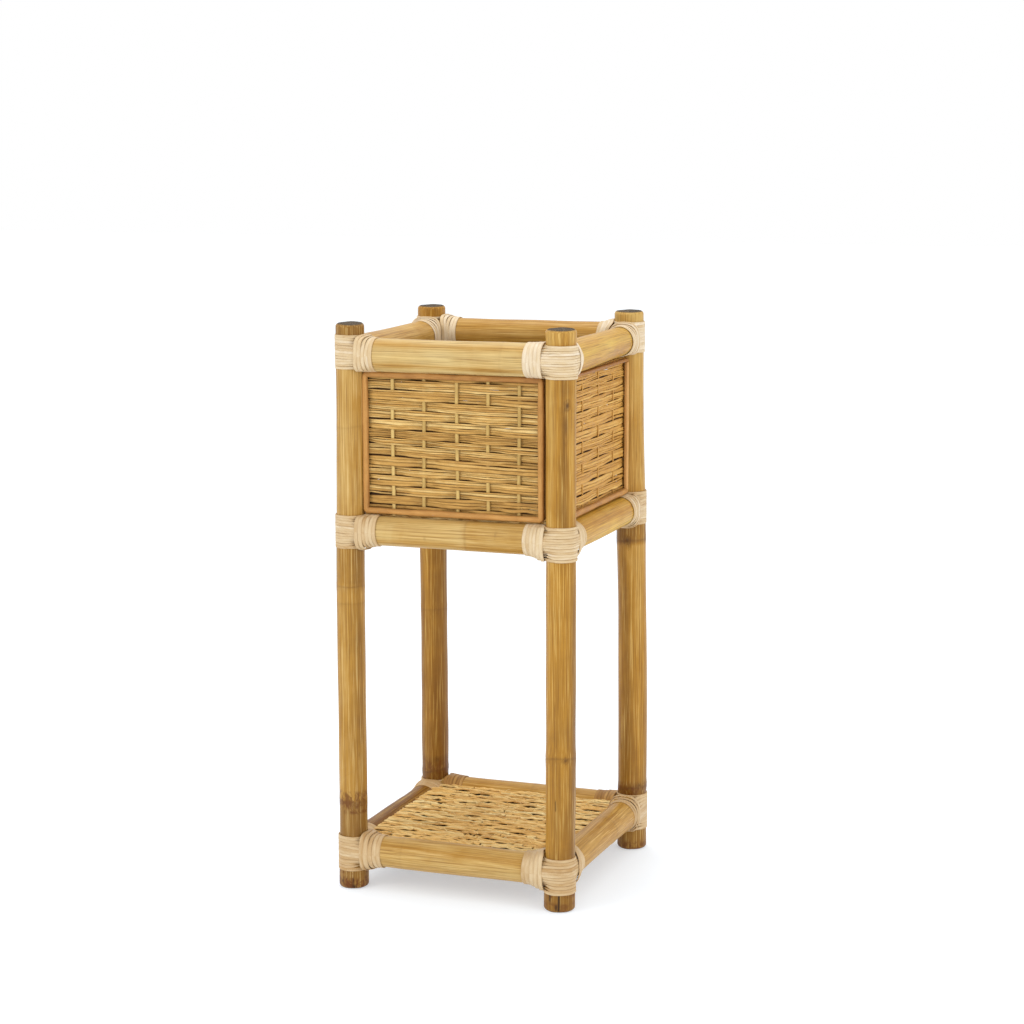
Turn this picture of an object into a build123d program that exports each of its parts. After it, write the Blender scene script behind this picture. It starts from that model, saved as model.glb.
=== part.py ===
from build123d import *
import math
import os

os.makedirs("parts", exist_ok=True)

# Square plant stand of thick rattan poles with a woven box on top and a woven
# shelf below. Millimetres, +Z up, -Y is the front, origin at the middle of the
# footprint on the floor.

# ---------------------------------------------------------------- dimensions
HEIGHT = 700.0          # floor to the tops of the uprights
POST_C = 135.5          # post axes stand at (+-POST_C, +-POST_C)
POST_R = {"front_left": 17.2, "front_right": 18.0, "rear_left": 17.7, "rear_right": 18.4}   # post radii
POST_EDGE = 4.0         # worn edge of the sawn pole ends

# axis height and radius of each horizontal pole, by level and side
RAILS = {
    "bottom": {"front": (47.5, 19.2), "right": (51.3, 19.2), "rear": (50.5, 20.2), "left": (47.5, 19.4)},
    "middle": {"front": (449.0, 18.2), "right": (449.5, 18.4), "rear": (449.3, 18.2), "left": (449.0, 18.2)},
    "top": {"front": (662.0, 19.8), "right": (663.0, 19.8), "rear": (664.0, 20.3), "left": (662.0, 19.8)},
}
BAND_Z = {"bottom": 46.5, "middle": 449.3, "top": 664.0}   # middle of each corner band
# lower and upper edge of the peel wound round each upright
BAND_SPAN = {
    "bottom": {"front_left": (22.8, 66.4), "front_right": (21.5, 65.8), "rear_left": (25.0, 68.0), "rear_right": (26.5, 73.5)},
    "middle": {"front_left": (427.0, 469.0), "front_right": (426.5, 469.0), "rear_left": (427.5, 470.5), "rear_right": (428.5, 471.0)},
    "top": {"front_left": (640.5, 685.6), "front_right": (641.6, 683.5), "rear_left": (641.8, 686.2), "rear_right": (641.5, 686.5)},
}
BAND_T = 2.0            # how far it stands proud of the post
SADDLE_T = 1.3          # and of the rail ends it runs out on
COPE_IN = 4.0           # outer horns of a coped rail end stop this far from the post axis

# rail wraps begin and end this far from the post axis
WRAP_SPAN = {"bottom": (16.0, 43.5), "middle": (15.0, 41.5), "top": (17.0, 40.5)}
WRAP_AT = {
    ("top", "right", -1): (9.0, 22.0), ("middle", "right", -1): (12.0, 38.5), ("bottom", "right", -1): (10.0, 34.0),
    ("top", "right", 1): (26.0, 49.0), ("middle", "right", 1): (19.0, 43.5), ("bottom", "right", 1): (28.0, 46.5),
}
WRAP_T0 = 4.4           # thickness next to the post
WRAP_T1 = 1.5           # thickness at the thin end
MITRE_GAP = 0.4         # between two wraps inside a corner

SCREW_R = 2.0           # joint screws: shank radius
SCREW_HEAD_R = 4.0
SCREW_HEAD_T = 3.0
SCREW_SUNK = 0.6        # heads lie this far under the post's surface
SCREW_REACH = 52.0      # tip, measured from the post axis
SCREW_STEP = 5.0        # the two screws of a joint cross above each other

# woven side panels
MAT_V = 132.7           # middle plane of a side panel, from the stand's axis
ROWS = 15               # flat weavers in a side panel
ROW_PITCH = 11.5
ROW_H = 11.0
ROW_Z0 = 468.4          # underside of the lowest weaver
RIBBON_T = 2.0          # thickness of a weaver
WAVE = 2.45             # how far a weaver's middle swings from the panel plane
STAKES = {
    "front": (-78.0, -37.5, 5.0, 44.5, 83.0),
    "right": (-103.0, -48.0, 12.0, 71.0),
    "rear": (-80.0, -40.0, 1.0, 40.0, 81.0),
    "left": (-79.0, -41.0, -2.0, 42.0, 80.0),
}
STAKE_A = 2.25          # half width of a stake
STAKE_B = 1.4           # half thickness of a stake
PANEL_HALF = 117.0
PANEL_FOOT_HALF = 112.2  # the lowest weaver stops short of the middle bands
PANEL_ROOM = (468.2, 641.6, 124.4, 141.0)   # space kept for a panel and its frames

# half-round trim frames of the side panels
TRIM_HALF = 115.0
TRIM_Z0, TRIM_Z1 = 469.2, 641.4
TRIM_W = 7.0
TRIM_T = 4.2
TRIM_R = 6.0
BRAD_R = 0.6
EASE = 0.08             # room between weaving and what it lies on

# woven decks: shelf between the bottom poles, floor of the box at the middle ones
DECKS = {"shelf": ("bottom", 61.0), "planter_floor": ("middle", 460.0)}
DECK_PITCH = 11.2
DECK_ROW = 10.7
DECK_ROWS = 22
DECK_STAKES = (-108.0, -81.0, -54.0, -27.0, 0.0, 27.0, 54.0, 81.0, 108.0)
SLAT_W, SLAT_T = 24.0, 8.0
SLAT_X = (-76.0, -25.5, 25.5, 76.0)

CORNERS = {
    "front_left": (-1, -1),
    "front_right": (1, -1),
    "rear_left": (-1, 1),
    "rear_right": (1, 1),
}
SIDE_ANGLE = {"front": 0.0, "right": 90.0, "rear": 180.0, "left": 270.0}


def write(piece, name):
    piece.part.label = name
    export_step(piece.part, f"parts/{name}.step")


def along(side):
    a = math.radians(SIDE_ANGLE[side])
    return (round(math.cos(a)), round(math.sin(a)), 0)


def outward(side):
    a = math.radians(SIDE_ANGLE[side])
    return (round(math.sin(a)), -round(math.cos(a)), 0)


def rail_plane(side, z, at):
    """Cross-section plane of a side's poles, 'at' millimetres along the side."""
    u, n = along(side), outward(side)
    return Plane(
        origin=(u[0] * at + n[0] * POST_C, u[1] * at + n[1] * POST_C, z),
        x_dir=(0, 0, 1), z_dir=u)


def joints_of(corner):
    """The two sides that meet at a corner, each with the sign of the corner along it."""
    cx, cy = CORNERS[corner]
    first = "front" if cy < 0 else "rear"
    second = "left" if cx < 0 else "right"
    found = []
    for side in (first, second):
        u = along(side)
        found.append((side, cx * u[0] + cy * u[1]))
    return found


def screw_offset(side):
    return -SCREW_STEP if side in ("front", "rear") else SCREW_STEP


def corner_at(side, end):
    """The corner a side's pole reaches at its -1 or +1 end."""
    return next(c for c in CORNERS if (side, end) in joints_of(c))


def wrap_span(level, side, end):
    """Where the peel round a rail end starts and stops, measured from the upright's axis."""
    return WRAP_AT.get((level, side, end), WRAP_SPAN[level])


def wrap_cone(side, level, z, r, end):
    """Outer form of the peel wound round one rail end, added to the open part."""
    start, stop = wrap_span(level, side, end)
    with BuildSketch(rail_plane(side, z, end * (POST_C - start))) as thick:
        Circle(r + WRAP_T0)
    with BuildSketch(rail_plane(side, z, end * (POST_C - stop))) as thin:
        Circle(r + WRAP_T1)
    return thick.sketch, thin.sketch


# ------------------------------------------------------------------- posts
for corner, (cx, cy) in CORNERS.items():
    with BuildPart() as post:
        with BuildSketch(Plane(origin=(cx * POST_C, cy * POST_C, 0))):
            Circle(POST_R[corner])
        extrude(amount=HEIGHT)
        fillet(post.edges().filter_by(GeomType.CIRCLE), radius=POST_EDGE)
        # clearance for the joint screws, heads let in under the bands
        for level in RAILS:
            for side, end in joints_of(corner):
                z = BAND_Z[level] + screw_offset(side)
                seat = POST_R[corner] - SCREW_SUNK - SCREW_HEAD_T
                with BuildSketch(rail_plane(side, z, end * (POST_C + 24))):
                    Circle(SCREW_HEAD_R)
                extrude(amount=-end * (24 - seat), mode=Mode.SUBTRACT)
                with BuildSketch(rail_plane(side, z, end * (POST_C + 15))):
                    Circle(SCREW_R)
                extrude(amount=-end * 40, mode=Mode.SUBTRACT)
    write(post, f"post_{corner}")

# ------------------------------------------------------------------- rails
for level, sides in RAILS.items():
    for side, (z, r) in sides.items():
        with BuildPart() as rail:
            with BuildSketch(rail_plane(side, z, -POST_C)):
                Circle(r)
            extrude(amount=2 * POST_C)
            # neighbouring poles meet in a mitre behind the upright
            low = Plane(origin=(0, 0, z - 40), x_dir=along(side), z_dir=(0, 0, 1))
            with BuildSketch(low):
                near = POST_C - COPE_IN
                Polygon(
                    (-near, -POST_C - 40), (near, -POST_C - 40), (near, -near),
                    (POST_C - 40, -POST_C + 40), (-POST_C + 40, -POST_C + 40), (-near, -near),
                    align=None)
            extrude(amount=80, mode=Mode.INTERSECT)
            # and are coped to fit it
            with BuildSketch(low):
                for end in (-1, 1):
                    with Locations((end * POST_C, -POST_C)):
                        Circle(POST_R[corner_at(side, end)])
            extrude(amount=80, mode=Mode.SUBTRACT)
            for end in (-1, 1):
                zs = BAND_Z[level] + screw_offset(side)
                with BuildSketch(rail_plane(side, zs, end * (POST_C - 10))):
                    Circle(SCREW_R)
                extrude(amount=-end * (SCREW_REACH - 10), mode=Mode.SUBTRACT)
        write(rail, f"rail_{level}_{side}")

# ------------------------------------------------- peel round the uprights
for level, sides in RAILS.items():
    for corner, (cx, cy) in CORNERS.items():
        z0, z1 = BAND_SPAN[level][corner]
        with BuildPart() as band:
            with BuildSketch(Plane(origin=(cx * POST_C, cy * POST_C, z0))):
                Circle(POST_R[corner] + BAND_T)
            extrude(amount=z1 - z0)
            # the peel runs out on the outer faces of the two rails
            for side, end in joints_of(corner):
                z, r = sides[side]
                start = wrap_span(level, side, end)[0]
                with BuildSketch(rail_plane(side, z, end * (POST_C - start))):
                    Circle(r + SADDLE_T)
                    with Locations((0, -30)):
                        Rectangle(80, 60, mode=Mode.SUBTRACT)
                extrude(amount=end * start)
            with BuildSketch(Plane(origin=(cx * POST_C, cy * POST_C, z0 - 20))):
                Circle(POST_R[corner])
            extrude(amount=z1 - z0 + 40, mode=Mode.SUBTRACT)
            for side, end in joints_of(corner):
                z, r = sides[side]
                with BuildSketch(rail_plane(side, z, end * (POST_C - COPE_IN))):
                    Circle(r)
                extrude(amount=-end * 40, mode=Mode.SUBTRACT)
                # room for the wraps, which lie over the band
                loft(sections=wrap_cone(side, level, z, r, end), mode=Mode.SUBTRACT)
            for scrap in band.solids():
                if scrap.volume < 60:
                    add(scrap, mode=Mode.SUBTRACT)
        write(band, f"corner_band_{level}_{corner}")

# --------------------------------------------------- peel round the rail ends
for level, sides in RAILS.items():
    for corner, (cx, cy) in CORNERS.items():
        halves = []
        for side, end in joints_of(corner):
            z, r = sides[side]
            low = Plane(origin=(0, 0, z - 40), x_dir=along(side), z_dir=(0, 0, 1))
            with BuildPart() as wrap:
                loft(sections=wrap_cone(side, level, z, r, end))
                with BuildSketch(rail_plane(side, z, -POST_C)):
                    Circle(r)
                extrude(amount=2 * POST_C, mode=Mode.SUBTRACT)
                with BuildSketch(low):
                    with Locations((end * POST_C, -POST_C)):
                        Circle(POST_R[corner])
                    # inside the corner the two wraps stop short of each other
                    Polygon(
                        (end * (POST_C - MITRE_GAP), -POST_C),
                        (end * (POST_C - MITRE_GAP - 40), -POST_C + 40),
                        (end * (POST_C + 5), -POST_C + 40),
                        (end * (POST_C + 5), -POST_C),
                        align=None)
                extrude(amount=80, mode=Mode.SUBTRACT)
                # the wraps are thin where the side panels bear on them
                bottom, top, inner, outer = PANEL_ROOM
                with BuildSketch(Plane(origin=(0, 0, bottom), x_dir=along(side), z_dir=(0, 0, 1))):
                    with Locations((0, -(inner + outer) / 2)):
                        Rectangle(2 * (PANEL_HALF + 0.5), outer - inner)
                extrude(amount=top - bottom, mode=Mode.SUBTRACT)
            halves.append(wrap.part)
        with BuildPart() as wraps:
            for half in halves:
                add(half)
        write(wraps, f"rail_wraps_{level}_{corner}")

# ------------------------------------------------------------- joint screws
with BuildPart() as screws:
    for level in RAILS:
        for corner in CORNERS:
            for side, end in joints_of(corner):
                z = BAND_Z[level] + screw_offset(side)
                top = POST_R[corner] - SCREW_SUNK
                with BuildSketch(rail_plane(side, z, end * (POST_C + top))):
                    Circle(SCREW_HEAD_R)
                extrude(amount=-end * SCREW_HEAD_T)
                seat = top - SCREW_HEAD_T
                with BuildSketch(rail_plane(side, z, end * (POST_C + seat))):
                    Circle(SCREW_R)
                extrude(amount=-end * (SCREW_REACH + seat))
write(screws, "joint_screws")

# ------------------------------------------------------------ weaving helpers


def wave_points(stakes, half, row, shift):
    """Plan of one weaver: over a stake, under the next, flat at its ends."""
    at = []
    for i, s in enumerate(stakes):
        swing = -WAVE if (i + row) % 2 else WAVE
        at.append((s, swing + shift))
        if i + 1 < len(stakes):
            at.append(((s + stakes[i + 1]) / 2, shift))
    first, last = at[0], at[-1]
    step = (half + stakes[0], half - stakes[-1])
    start = [(-half, shift - 0.9 * (first[1] - shift)), (stakes[0] - step[0] / 2, shift)]
    end = [(stakes[-1] + step[1] / 2, shift), (half, shift - 0.9 * (last[1] - shift))]
    # a stake close to the edge leaves no room to swing back
    if step[0] < 20:
        start = [(-half, shift + 0.6 * (first[1] - shift))]
    if step[1] < 20:
        end = [(half, shift + 0.6 * (last[1] - shift))]
    return start + at + end


def brad_spots():
    """Where the brads go through a trim frame, in the plane of the panel."""
    top, foot = TRIM_Z1 - TRIM_W / 2, TRIM_Z0 + TRIM_W / 2
    side = TRIM_HALF - TRIM_W / 2
    spots = [(x, z) for z in (foot, top) for x in (-96.0, -24.0, 24.0, 96.0)]
    spots += [(x, z) for x in (-side, side) for z in (513.5, 594.0)]
    return spots


# --------------------------------------------------- woven sides of the box
for side in SIDE_ANGLE:
    with BuildPart() as weavers:
        for row in range(ROWS):
            z = ROW_Z0 + row * ROW_PITCH
            half = PANEL_HALF if row else PANEL_FOOT_HALF
            with BuildSketch(Plane(origin=(0, 0, z), x_dir=along(side), z_dir=(0, 0, 1))):
                with BuildLine():
                    near = Spline(*wave_points(STAKES[side], half, row, -MAT_V - RIBBON_T / 2))
                    far = Spline(*wave_points(STAKES[side], half, row, -MAT_V + RIBBON_T / 2))
                    Line(near @ 0, far @ 0)
                    Line(near @ 1, far @ 1)
                make_face()
            extrude(amount=ROW_H)
        n = outward(side)
        with BuildSketch(Plane(origin=(n[0] * 120, n[1] * 120, 0), x_dir=along(side), z_dir=n)):
            with Locations(*brad_spots()):
                Circle(BRAD_R)
        extrude(amount=25, mode=Mode.SUBTRACT)
    write(weavers, f"panel_weavers_{side}")

with BuildPart() as stakes:
    for side in SIDE_ANGLE:
        with BuildSketch(Plane(origin=(0, 0, ROW_Z0 - 0.1), x_dir=along(side), z_dir=(0, 0, 1))):
            with Locations(*[(s, -MAT_V) for s in STAKES[side]]):
                Ellipse(STAKE_A, STAKE_B)
        extrude(amount=ROWS * ROW_PITCH + 0.5)
write(stakes, "panel_stakes")

# ------------------------------------------------- half-round frames of cane
for side in SIDE_ANGLE:
    n = outward(side)
    faces = {
        "outer": (MAT_V + WAVE + RIBBON_T / 2 + EASE, n),
        "inner": (MAT_V - WAVE - RIBBON_T / 2 - EASE, (-n[0], -n[1], 0)),
    }
    for where, (at, normal) in faces.items():
        with BuildPart() as trim:
            with BuildSketch(Plane(origin=(n[0] * at, n[1] * at, 0), x_dir=along(side), z_dir=normal)):
                flip = 1 if where == "outer" else -1
                with Locations((0, flip * (TRIM_Z0 + TRIM_Z1) / 2)):
                    RectangleRounded(2 * TRIM_HALF, TRIM_Z1 - TRIM_Z0, TRIM_R)
                    Rectangle(2 * (TRIM_HALF - TRIM_W), TRIM_Z1 - TRIM_Z0 - 2 * TRIM_W, mode=Mode.SUBTRACT)
            extrude(amount=TRIM_T)
            crown = trim.faces().filter_by(
                lambda f: abs(f.normal_at().dot(Vector(*normal)) - 1) < 1e-6)
            fillet(crown.edges(), radius=2.6)
            with BuildSketch(Plane(origin=(n[0] * 120, n[1] * 120, 0), x_dir=along(side), z_dir=n)):
                with Locations(*brad_spots()):
                    Circle(BRAD_R)
            extrude(amount=25, mode=Mode.SUBTRACT)
        write(trim, f"panel_trim_{where}_{side}")

with BuildPart() as brads:
    for side in SIDE_ANGLE:
        n = outward(side)
        with BuildSketch(Plane(origin=(n[0] * 126.2, n[1] * 126.2, 0), x_dir=along(side), z_dir=n)):
            with Locations(*brad_spots()):
                Circle(BRAD_R)
        extrude(amount=13.8)
write(brads, "trim_brads")

# ------------------------------------------------------------------- decks
for name, (level, deck_z) in DECKS.items():
    sides = RAILS[level]
    with BuildPart() as deck:
        for row in range(DECK_ROWS):
            y = (row - (DECK_ROWS - 1) / 2) * DECK_PITCH
            with BuildSketch(Plane(origin=(0, y + DECK_ROW / 2, deck_z), x_dir=(1, 0, 0), z_dir=(0, -1, 0))):
                with BuildLine():
                    near = Spline(*wave_points(DECK_STAKES, 126.0, row, -RIBBON_T / 2))
                    far = Spline(*wave_points(DECK_STAKES, 126.0, row, RIBBON_T / 2))
                    Line(near @ 0, far @ 0)
                    Line(near @ 1, far @ 1)
                make_face()
            extrude(amount=DECK_ROW)
        # the weavers end against the poles and their bindings
        for side, (z, r) in sides.items():
            with BuildSketch(rail_plane(side, z, -POST_C)):
                Circle(r)
            extrude(amount=2 * POST_C, mode=Mode.SUBTRACT)
            for end in (-1, 1):
                loft(sections=wrap_cone(side, level, z, r, end), mode=Mode.SUBTRACT)
        for corner, (cx, cy) in CORNERS.items():
            with BuildSketch(Plane(origin=(cx * POST_C, cy * POST_C, deck_z - 20))):
                Circle(POST_R[corner] + BAND_T)
            extrude(amount=40, mode=Mode.SUBTRACT)
    write(deck, f"{name}_weavers")

    with BuildPart() as slats:
        with BuildSketch(Plane.XY.offset(deck_z - WAVE - RIBBON_T / 2 - EASE - SLAT_T)):
            with Locations(*[(x, 0) for x in SLAT_X]):
                Rectangle(SLAT_W, 2 * (POST_C - 8))
        extrude(amount=SLAT_T)
        for side in ("front", "rear"):
            z, r = sides[side]
            with BuildSketch(rail_plane(side, z, -POST_C)):
                Circle(r)
            extrude(amount=2 * POST_C, mode=Mode.SUBTRACT)
    write(slats, f"{name}_slats")

with BuildPart() as deck_stakes:
    for level, deck_z in DECKS.values():
        # the outermost stakes stop short of the peel round the rail ends
        for half, places in ((115.5, DECK_STAKES[1:-1]), (106.0, (DECK_STAKES[0], DECK_STAKES[-1]))):
            with BuildSketch(Plane(origin=(0, half, deck_z), x_dir=(1, 0, 0), z_dir=(0, -1, 0))):
                with Locations(*[(x, 0) for x in places]):
                    Ellipse(STAKE_A, STAKE_B)
            extrude(amount=2 * half)
write(deck_stakes, "deck_stakes")
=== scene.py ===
import math

import bpy
import numpy as np
from mathutils import Matrix, Vector


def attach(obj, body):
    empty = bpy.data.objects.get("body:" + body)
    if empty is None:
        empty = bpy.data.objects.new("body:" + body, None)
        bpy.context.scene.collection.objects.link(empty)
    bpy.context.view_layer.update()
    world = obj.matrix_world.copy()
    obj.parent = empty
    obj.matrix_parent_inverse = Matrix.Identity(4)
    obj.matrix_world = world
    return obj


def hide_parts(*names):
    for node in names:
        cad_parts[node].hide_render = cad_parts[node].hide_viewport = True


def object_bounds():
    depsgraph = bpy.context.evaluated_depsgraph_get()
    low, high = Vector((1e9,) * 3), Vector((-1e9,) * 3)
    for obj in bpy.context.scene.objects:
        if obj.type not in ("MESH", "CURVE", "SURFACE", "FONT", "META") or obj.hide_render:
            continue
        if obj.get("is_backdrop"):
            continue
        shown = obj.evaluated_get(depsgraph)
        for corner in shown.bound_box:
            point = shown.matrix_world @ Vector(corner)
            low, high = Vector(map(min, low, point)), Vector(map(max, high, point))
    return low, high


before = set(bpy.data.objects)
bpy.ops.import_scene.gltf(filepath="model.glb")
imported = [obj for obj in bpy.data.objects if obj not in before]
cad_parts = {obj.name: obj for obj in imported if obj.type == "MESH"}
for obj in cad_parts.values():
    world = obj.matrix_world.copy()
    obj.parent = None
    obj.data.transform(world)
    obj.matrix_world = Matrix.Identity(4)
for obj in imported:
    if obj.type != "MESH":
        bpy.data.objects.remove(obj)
size_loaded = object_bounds()

MM = 0.001
HEIGHT, POST_C = 700.0, 135.5
POST_R = {"front_left": 17.2, "front_right": 17.9, "rear_left": 17.7, "rear_right": 18.4}
RAILS = {
    "bottom": {"front": (47.5, 19.2), "right": (51.3, 19.2), "rear": (50.5, 20.2), "left": (47.5, 19.4)},
    "middle": {"front": (449.0, 18.2), "right": (449.5, 18.4), "rear": (449.3, 18.2), "left": (449.0, 18.2)},
    "top": {"front": (662.0, 19.8), "right": (663.7, 18.9), "rear": (664.0, 20.3), "left": (662.0, 19.8)},
}
BAND_Z = {"bottom": 46.5, "middle": 449.3, "top": 664.0}
CORNERS = {"front_left": (-1, -1), "front_right": (1, -1), "rear_left": (-1, 1), "rear_right": (1, 1)}
SIDES = ("front", "right", "rear", "left")
# rails that rise or taper: height and radius at their -1 and +1 ends
RAIL_ENDS = {
    ("bottom", "right"): ((50.0, 19.2), (53.2, 19.2)),
    ("bottom", "rear"): ((49.4, 20.2), (51.3, 20.2)),
    ("top", "right"): ((662.5, 20.2), (665.2, 17.6)),
}
# lower and upper edge of the peel round each upright
BAND_SPAN = {
    "bottom": {"front_left": (22.8, 66.4), "front_right": (21.5, 65.8), "rear_left": (25.0, 68.0), "rear_right": (26.5, 73.5)},
    "middle": {"front_left": (427.2, 467.6), "front_right": (426.7, 467.8), "rear_left": (427.5, 470.2), "rear_right": (428.6, 471.0)},
    "top": {"front_left": (644.6, 685.6), "front_right": (641.6, 681.0), "rear_left": (642.8, 686.0), "rear_right": (647.6, 686.5)},
}
WRAP_SPAN = {"bottom": (16.4, 43.4), "middle": (15.2, 41.4), "top": (17.4, 40.4)}
WRAP_AT = {
    ("top", "right", -1): (9.0, 22.0), ("middle", "right", -1): (12.0, 38.5), ("bottom", "right", -1): (10.0, 34.0),
    ("top", "right", 1): (26.0, 49.0), ("middle", "right", 1): (19.0, 43.5), ("bottom", "right", 1): (28.0, 46.5),
}
# the canes are a little crooked: heights, and millimetres of lean along LEAN_WAY
LEAN_WAY = np.array([0.938, 0.347, 0.0])
LEAN = {
    "front_left": ((0, 60, 150, 330, 400, 450, 500, 560, 620, 700), (-0.3, 0.1, 0.3, 0.5, 0.9, 1.6, 2.8, 3.6, 4.0, 4.1)),
    "front_right": ((0, 50, 110, 300, 700), (-1.2, -0.6, 0.3, 0.5, 0.6)),
    "rear_left": ((0, 200, 400, 550, 700), (0.0, -0.3, -1.3, -1.2, -0.8)),
    "rear_right": ((0, 92, 170, 247, 324, 402, 479, 531, 608, 700), (4.2, 4.4, 4.4, 3.9, 3.1, 1.6, 0.6, -0.4, -2.2, -2.5)),
}


def along(side):
    return {"front": (1, 0), "right": (0, 1), "rear": (-1, 0), "left": (0, -1)}[side]


def outward(side):
    return {"front": (0, -1), "right": (1, 0), "rear": (0, 1), "left": (-1, 0)}[side]


def joints_of(corner):
    cx, cy = CORNERS[corner]
    found = []
    for side in ("front" if cy < 0 else "rear", "left" if cx < 0 else "right"):
        u = along(side)
        found.append((side, cx * u[0] + cy * u[1]))
    return found


def wrap_at(level, side, end):
    return WRAP_AT.get((level, side, end), WRAP_SPAN[level])


def rail_here(level, side, end, p):
    """Height and radius of a rail, p millimetres in from the upright at one of its ends."""
    if (level, side) not in RAIL_ENDS:
        return RAILS[level][side]
    a, b = RAIL_ENDS[level, side]
    t = p / (2 * POST_C)
    t = t if end < 0 else 1 - t
    return a[0] + (b[0] - a[0]) * t, a[1] + (b[1] - a[1]) * t


def smooth(a, b, x):
    t = np.clip((np.asarray(x, float) - a) / (b - a), 0, 1)
    return t * t * (3 - 2 * t)


def lean(corner, z):
    hs, ds = LEAN[corner]
    z = np.asarray(z, float)
    # a line through the stated points, smoothed, keeps the cane free of kinks
    fine = np.linspace(hs[0], hs[-1], 141)
    d = np.interp(fine, hs, ds)
    kernel = np.hanning(15)
    d = np.convolve(np.pad(d, 7, mode="edge"), kernel / kernel.sum(), mode="valid")
    return np.interp(z, fine, d)


# ------------------------------------------------------------ mesh building


class Soup:
    """Grids of points gathered into one mesh, in millimetres."""

    def __init__(self):
        self.v, self.quads, self.tris, self.count = [], [], [], 0
        self.attrs = {}

    def grid(self, P, around=True, loop=False, caps=True, fibre=None, **attrs):
        """P is rows x columns x 3: rows run along the piece, columns round it."""
        nu, nv = P.shape[:2]
        pts = [P.reshape(-1, 3)]
        i = np.arange(nu if loop else nu - 1)[:, None]
        j = np.arange(nv if around else nv - 1)[None, :]
        a = i * nv + j
        b = i * nv + (j + 1) % nv
        c = ((i + 1) % nu) * nv + (j + 1) % nv
        d = ((i + 1) % nu) * nv + j
        quads = np.stack([a + 0 * b, b + 0 * a, c + 0 * a, d + 0 * a], -1).reshape(-1, 4)
        tris = []
        extra = 0
        if caps and around and not loop:
            for row, flip in ((0, True), (nu - 1, False)):
                centre = nu * nv + extra
                pts.append(P[row].mean(0)[None])
                extra += 1
                k = np.arange(nv)
                e0, e1 = row * nv + k, row * nv + (k + 1) % nv
                t = np.stack([e1, e0, np.full(nv, centre)] if flip else [e0, e1, np.full(nv, centre)], -1)
                tris.append(t)
        tris = np.concatenate(tris) if tris else np.zeros((0, 3), int)
        flat = np.concatenate(pts)
        # turn the surface outwards: the signed volume tells which way it faces
        t1 = flat[quads[:, [0, 1, 2]]]
        t2 = flat[quads[:, [0, 2, 3]]]
        vol = sum(np.einsum("ij,ij->i", t[:, 0], np.cross(t[:, 1], t[:, 2])).sum() for t in (t1, t2))
        if len(tris):
            t3 = flat[tris]
            vol += np.einsum("ij,ij->i", t3[:, 0], np.cross(t3[:, 1], t3[:, 2])).sum()
        if around and vol < 0:
            quads = quads[:, ::-1]
            tris = tris[:, ::-1]
        self.v.append(flat)
        self.quads.append(quads + self.count)
        self.tris.append(tris + self.count)
        total = nu * nv + extra
        if fibre is None:
            fibre = np.zeros((nu, nv, 3))
        values = {"fibre": fibre}
        values.update(attrs)
        for name, val in values.items():
            width = 3 if name == "fibre" else 1
            val = np.broadcast_to(np.asarray(val, float).reshape(np.shape(val) if width == 3 else np.shape(val) + (1,)), (nu, nv, width)).reshape(-1, width)
            full = np.zeros((total, width))
            full[: nu * nv] = val
            if extra:
                full[nu * nv] = val[:nv].mean(0)
                full[nu * nv + 1] = val[(nu - 1) * nv:].mean(0)
            self.attrs.setdefault(name, []).append((self.count, full))
        self.count += total

    def object(self, name, material, matrix=None, sharp=50):
        me = bpy.data.meshes.new(name)
        v = np.concatenate(self.v) * MM
        quads = np.concatenate(self.quads) if self.quads else np.zeros((0, 4), int)
        tris = np.concatenate(self.tris) if self.tris else np.zeros((0, 3), int)
        me.vertices.add(len(v))
        me.vertices.foreach_set("co", v.astype(np.float32).ravel())
        loops = np.concatenate([quads.ravel(), tris.ravel()]).astype(np.int32)
        me.loops.add(len(loops))
        me.loops.foreach_set("vertex_index", loops)
        starts = np.concatenate([np.arange(len(quads)) * 4, len(quads) * 4 + np.arange(len(tris)) * 3]).astype(np.int32)
        me.polygons.add(len(starts))
        me.polygons.foreach_set("loop_start", starts)
        me.update(calc_edges=True)
        me.validate()
        me.polygons.foreach_set("use_smooth", np.ones(len(me.polygons), bool))
        me.set_sharp_from_angle(angle=math.radians(sharp))
        for key, parts in self.attrs.items():
            width = 3 if key == "fibre" else 1
            full = np.zeros((len(v), width), np.float32)
            for start, val in parts:
                full[start: start + len(val)] = val
            at = me.attributes.new(key, "FLOAT_VECTOR" if width == 3 else "FLOAT", "POINT")
            at.data.foreach_set("vector" if width == 3 else "value", full.ravel())
        ob = bpy.data.objects.new(name, me)
        bpy.context.scene.collection.objects.link(ob)
        if matrix is not None:
            ob.matrix_world = matrix
        me.materials.append(material)
        return ob


def sweep(path, normal, profile, scale=None, closed=False):
    """Profile (x across, y along the normal) carried along a path."""
    path = np.asarray(path, float)
    n = len(path)
    if closed:
        T = np.roll(path, -1, 0) - np.roll(path, 1, 0)
    else:
        T = np.gradient(path, axis=0)
    T /= np.linalg.norm(T, axis=1)[:, None]
    N = np.asarray(normal, float)
    N = N - (N * T).sum(1)[:, None] * T
    N /= np.linalg.norm(N, axis=1)[:, None]
    B = np.cross(T, N)
    if scale is None:
        scale = np.ones(n)
    x = profile[:, 0][None, :, None] * np.asarray(scale)[:, None, None]
    y = profile[:, 1][None, :, None]
    P = path[:, None, :] + B[:, None, :] * x + N[:, None, :] * y
    step = np.linalg.norm(np.diff(path, axis=0), axis=1)
    u = np.concatenate([[0], np.cumsum(step)])
    return P, u


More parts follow.
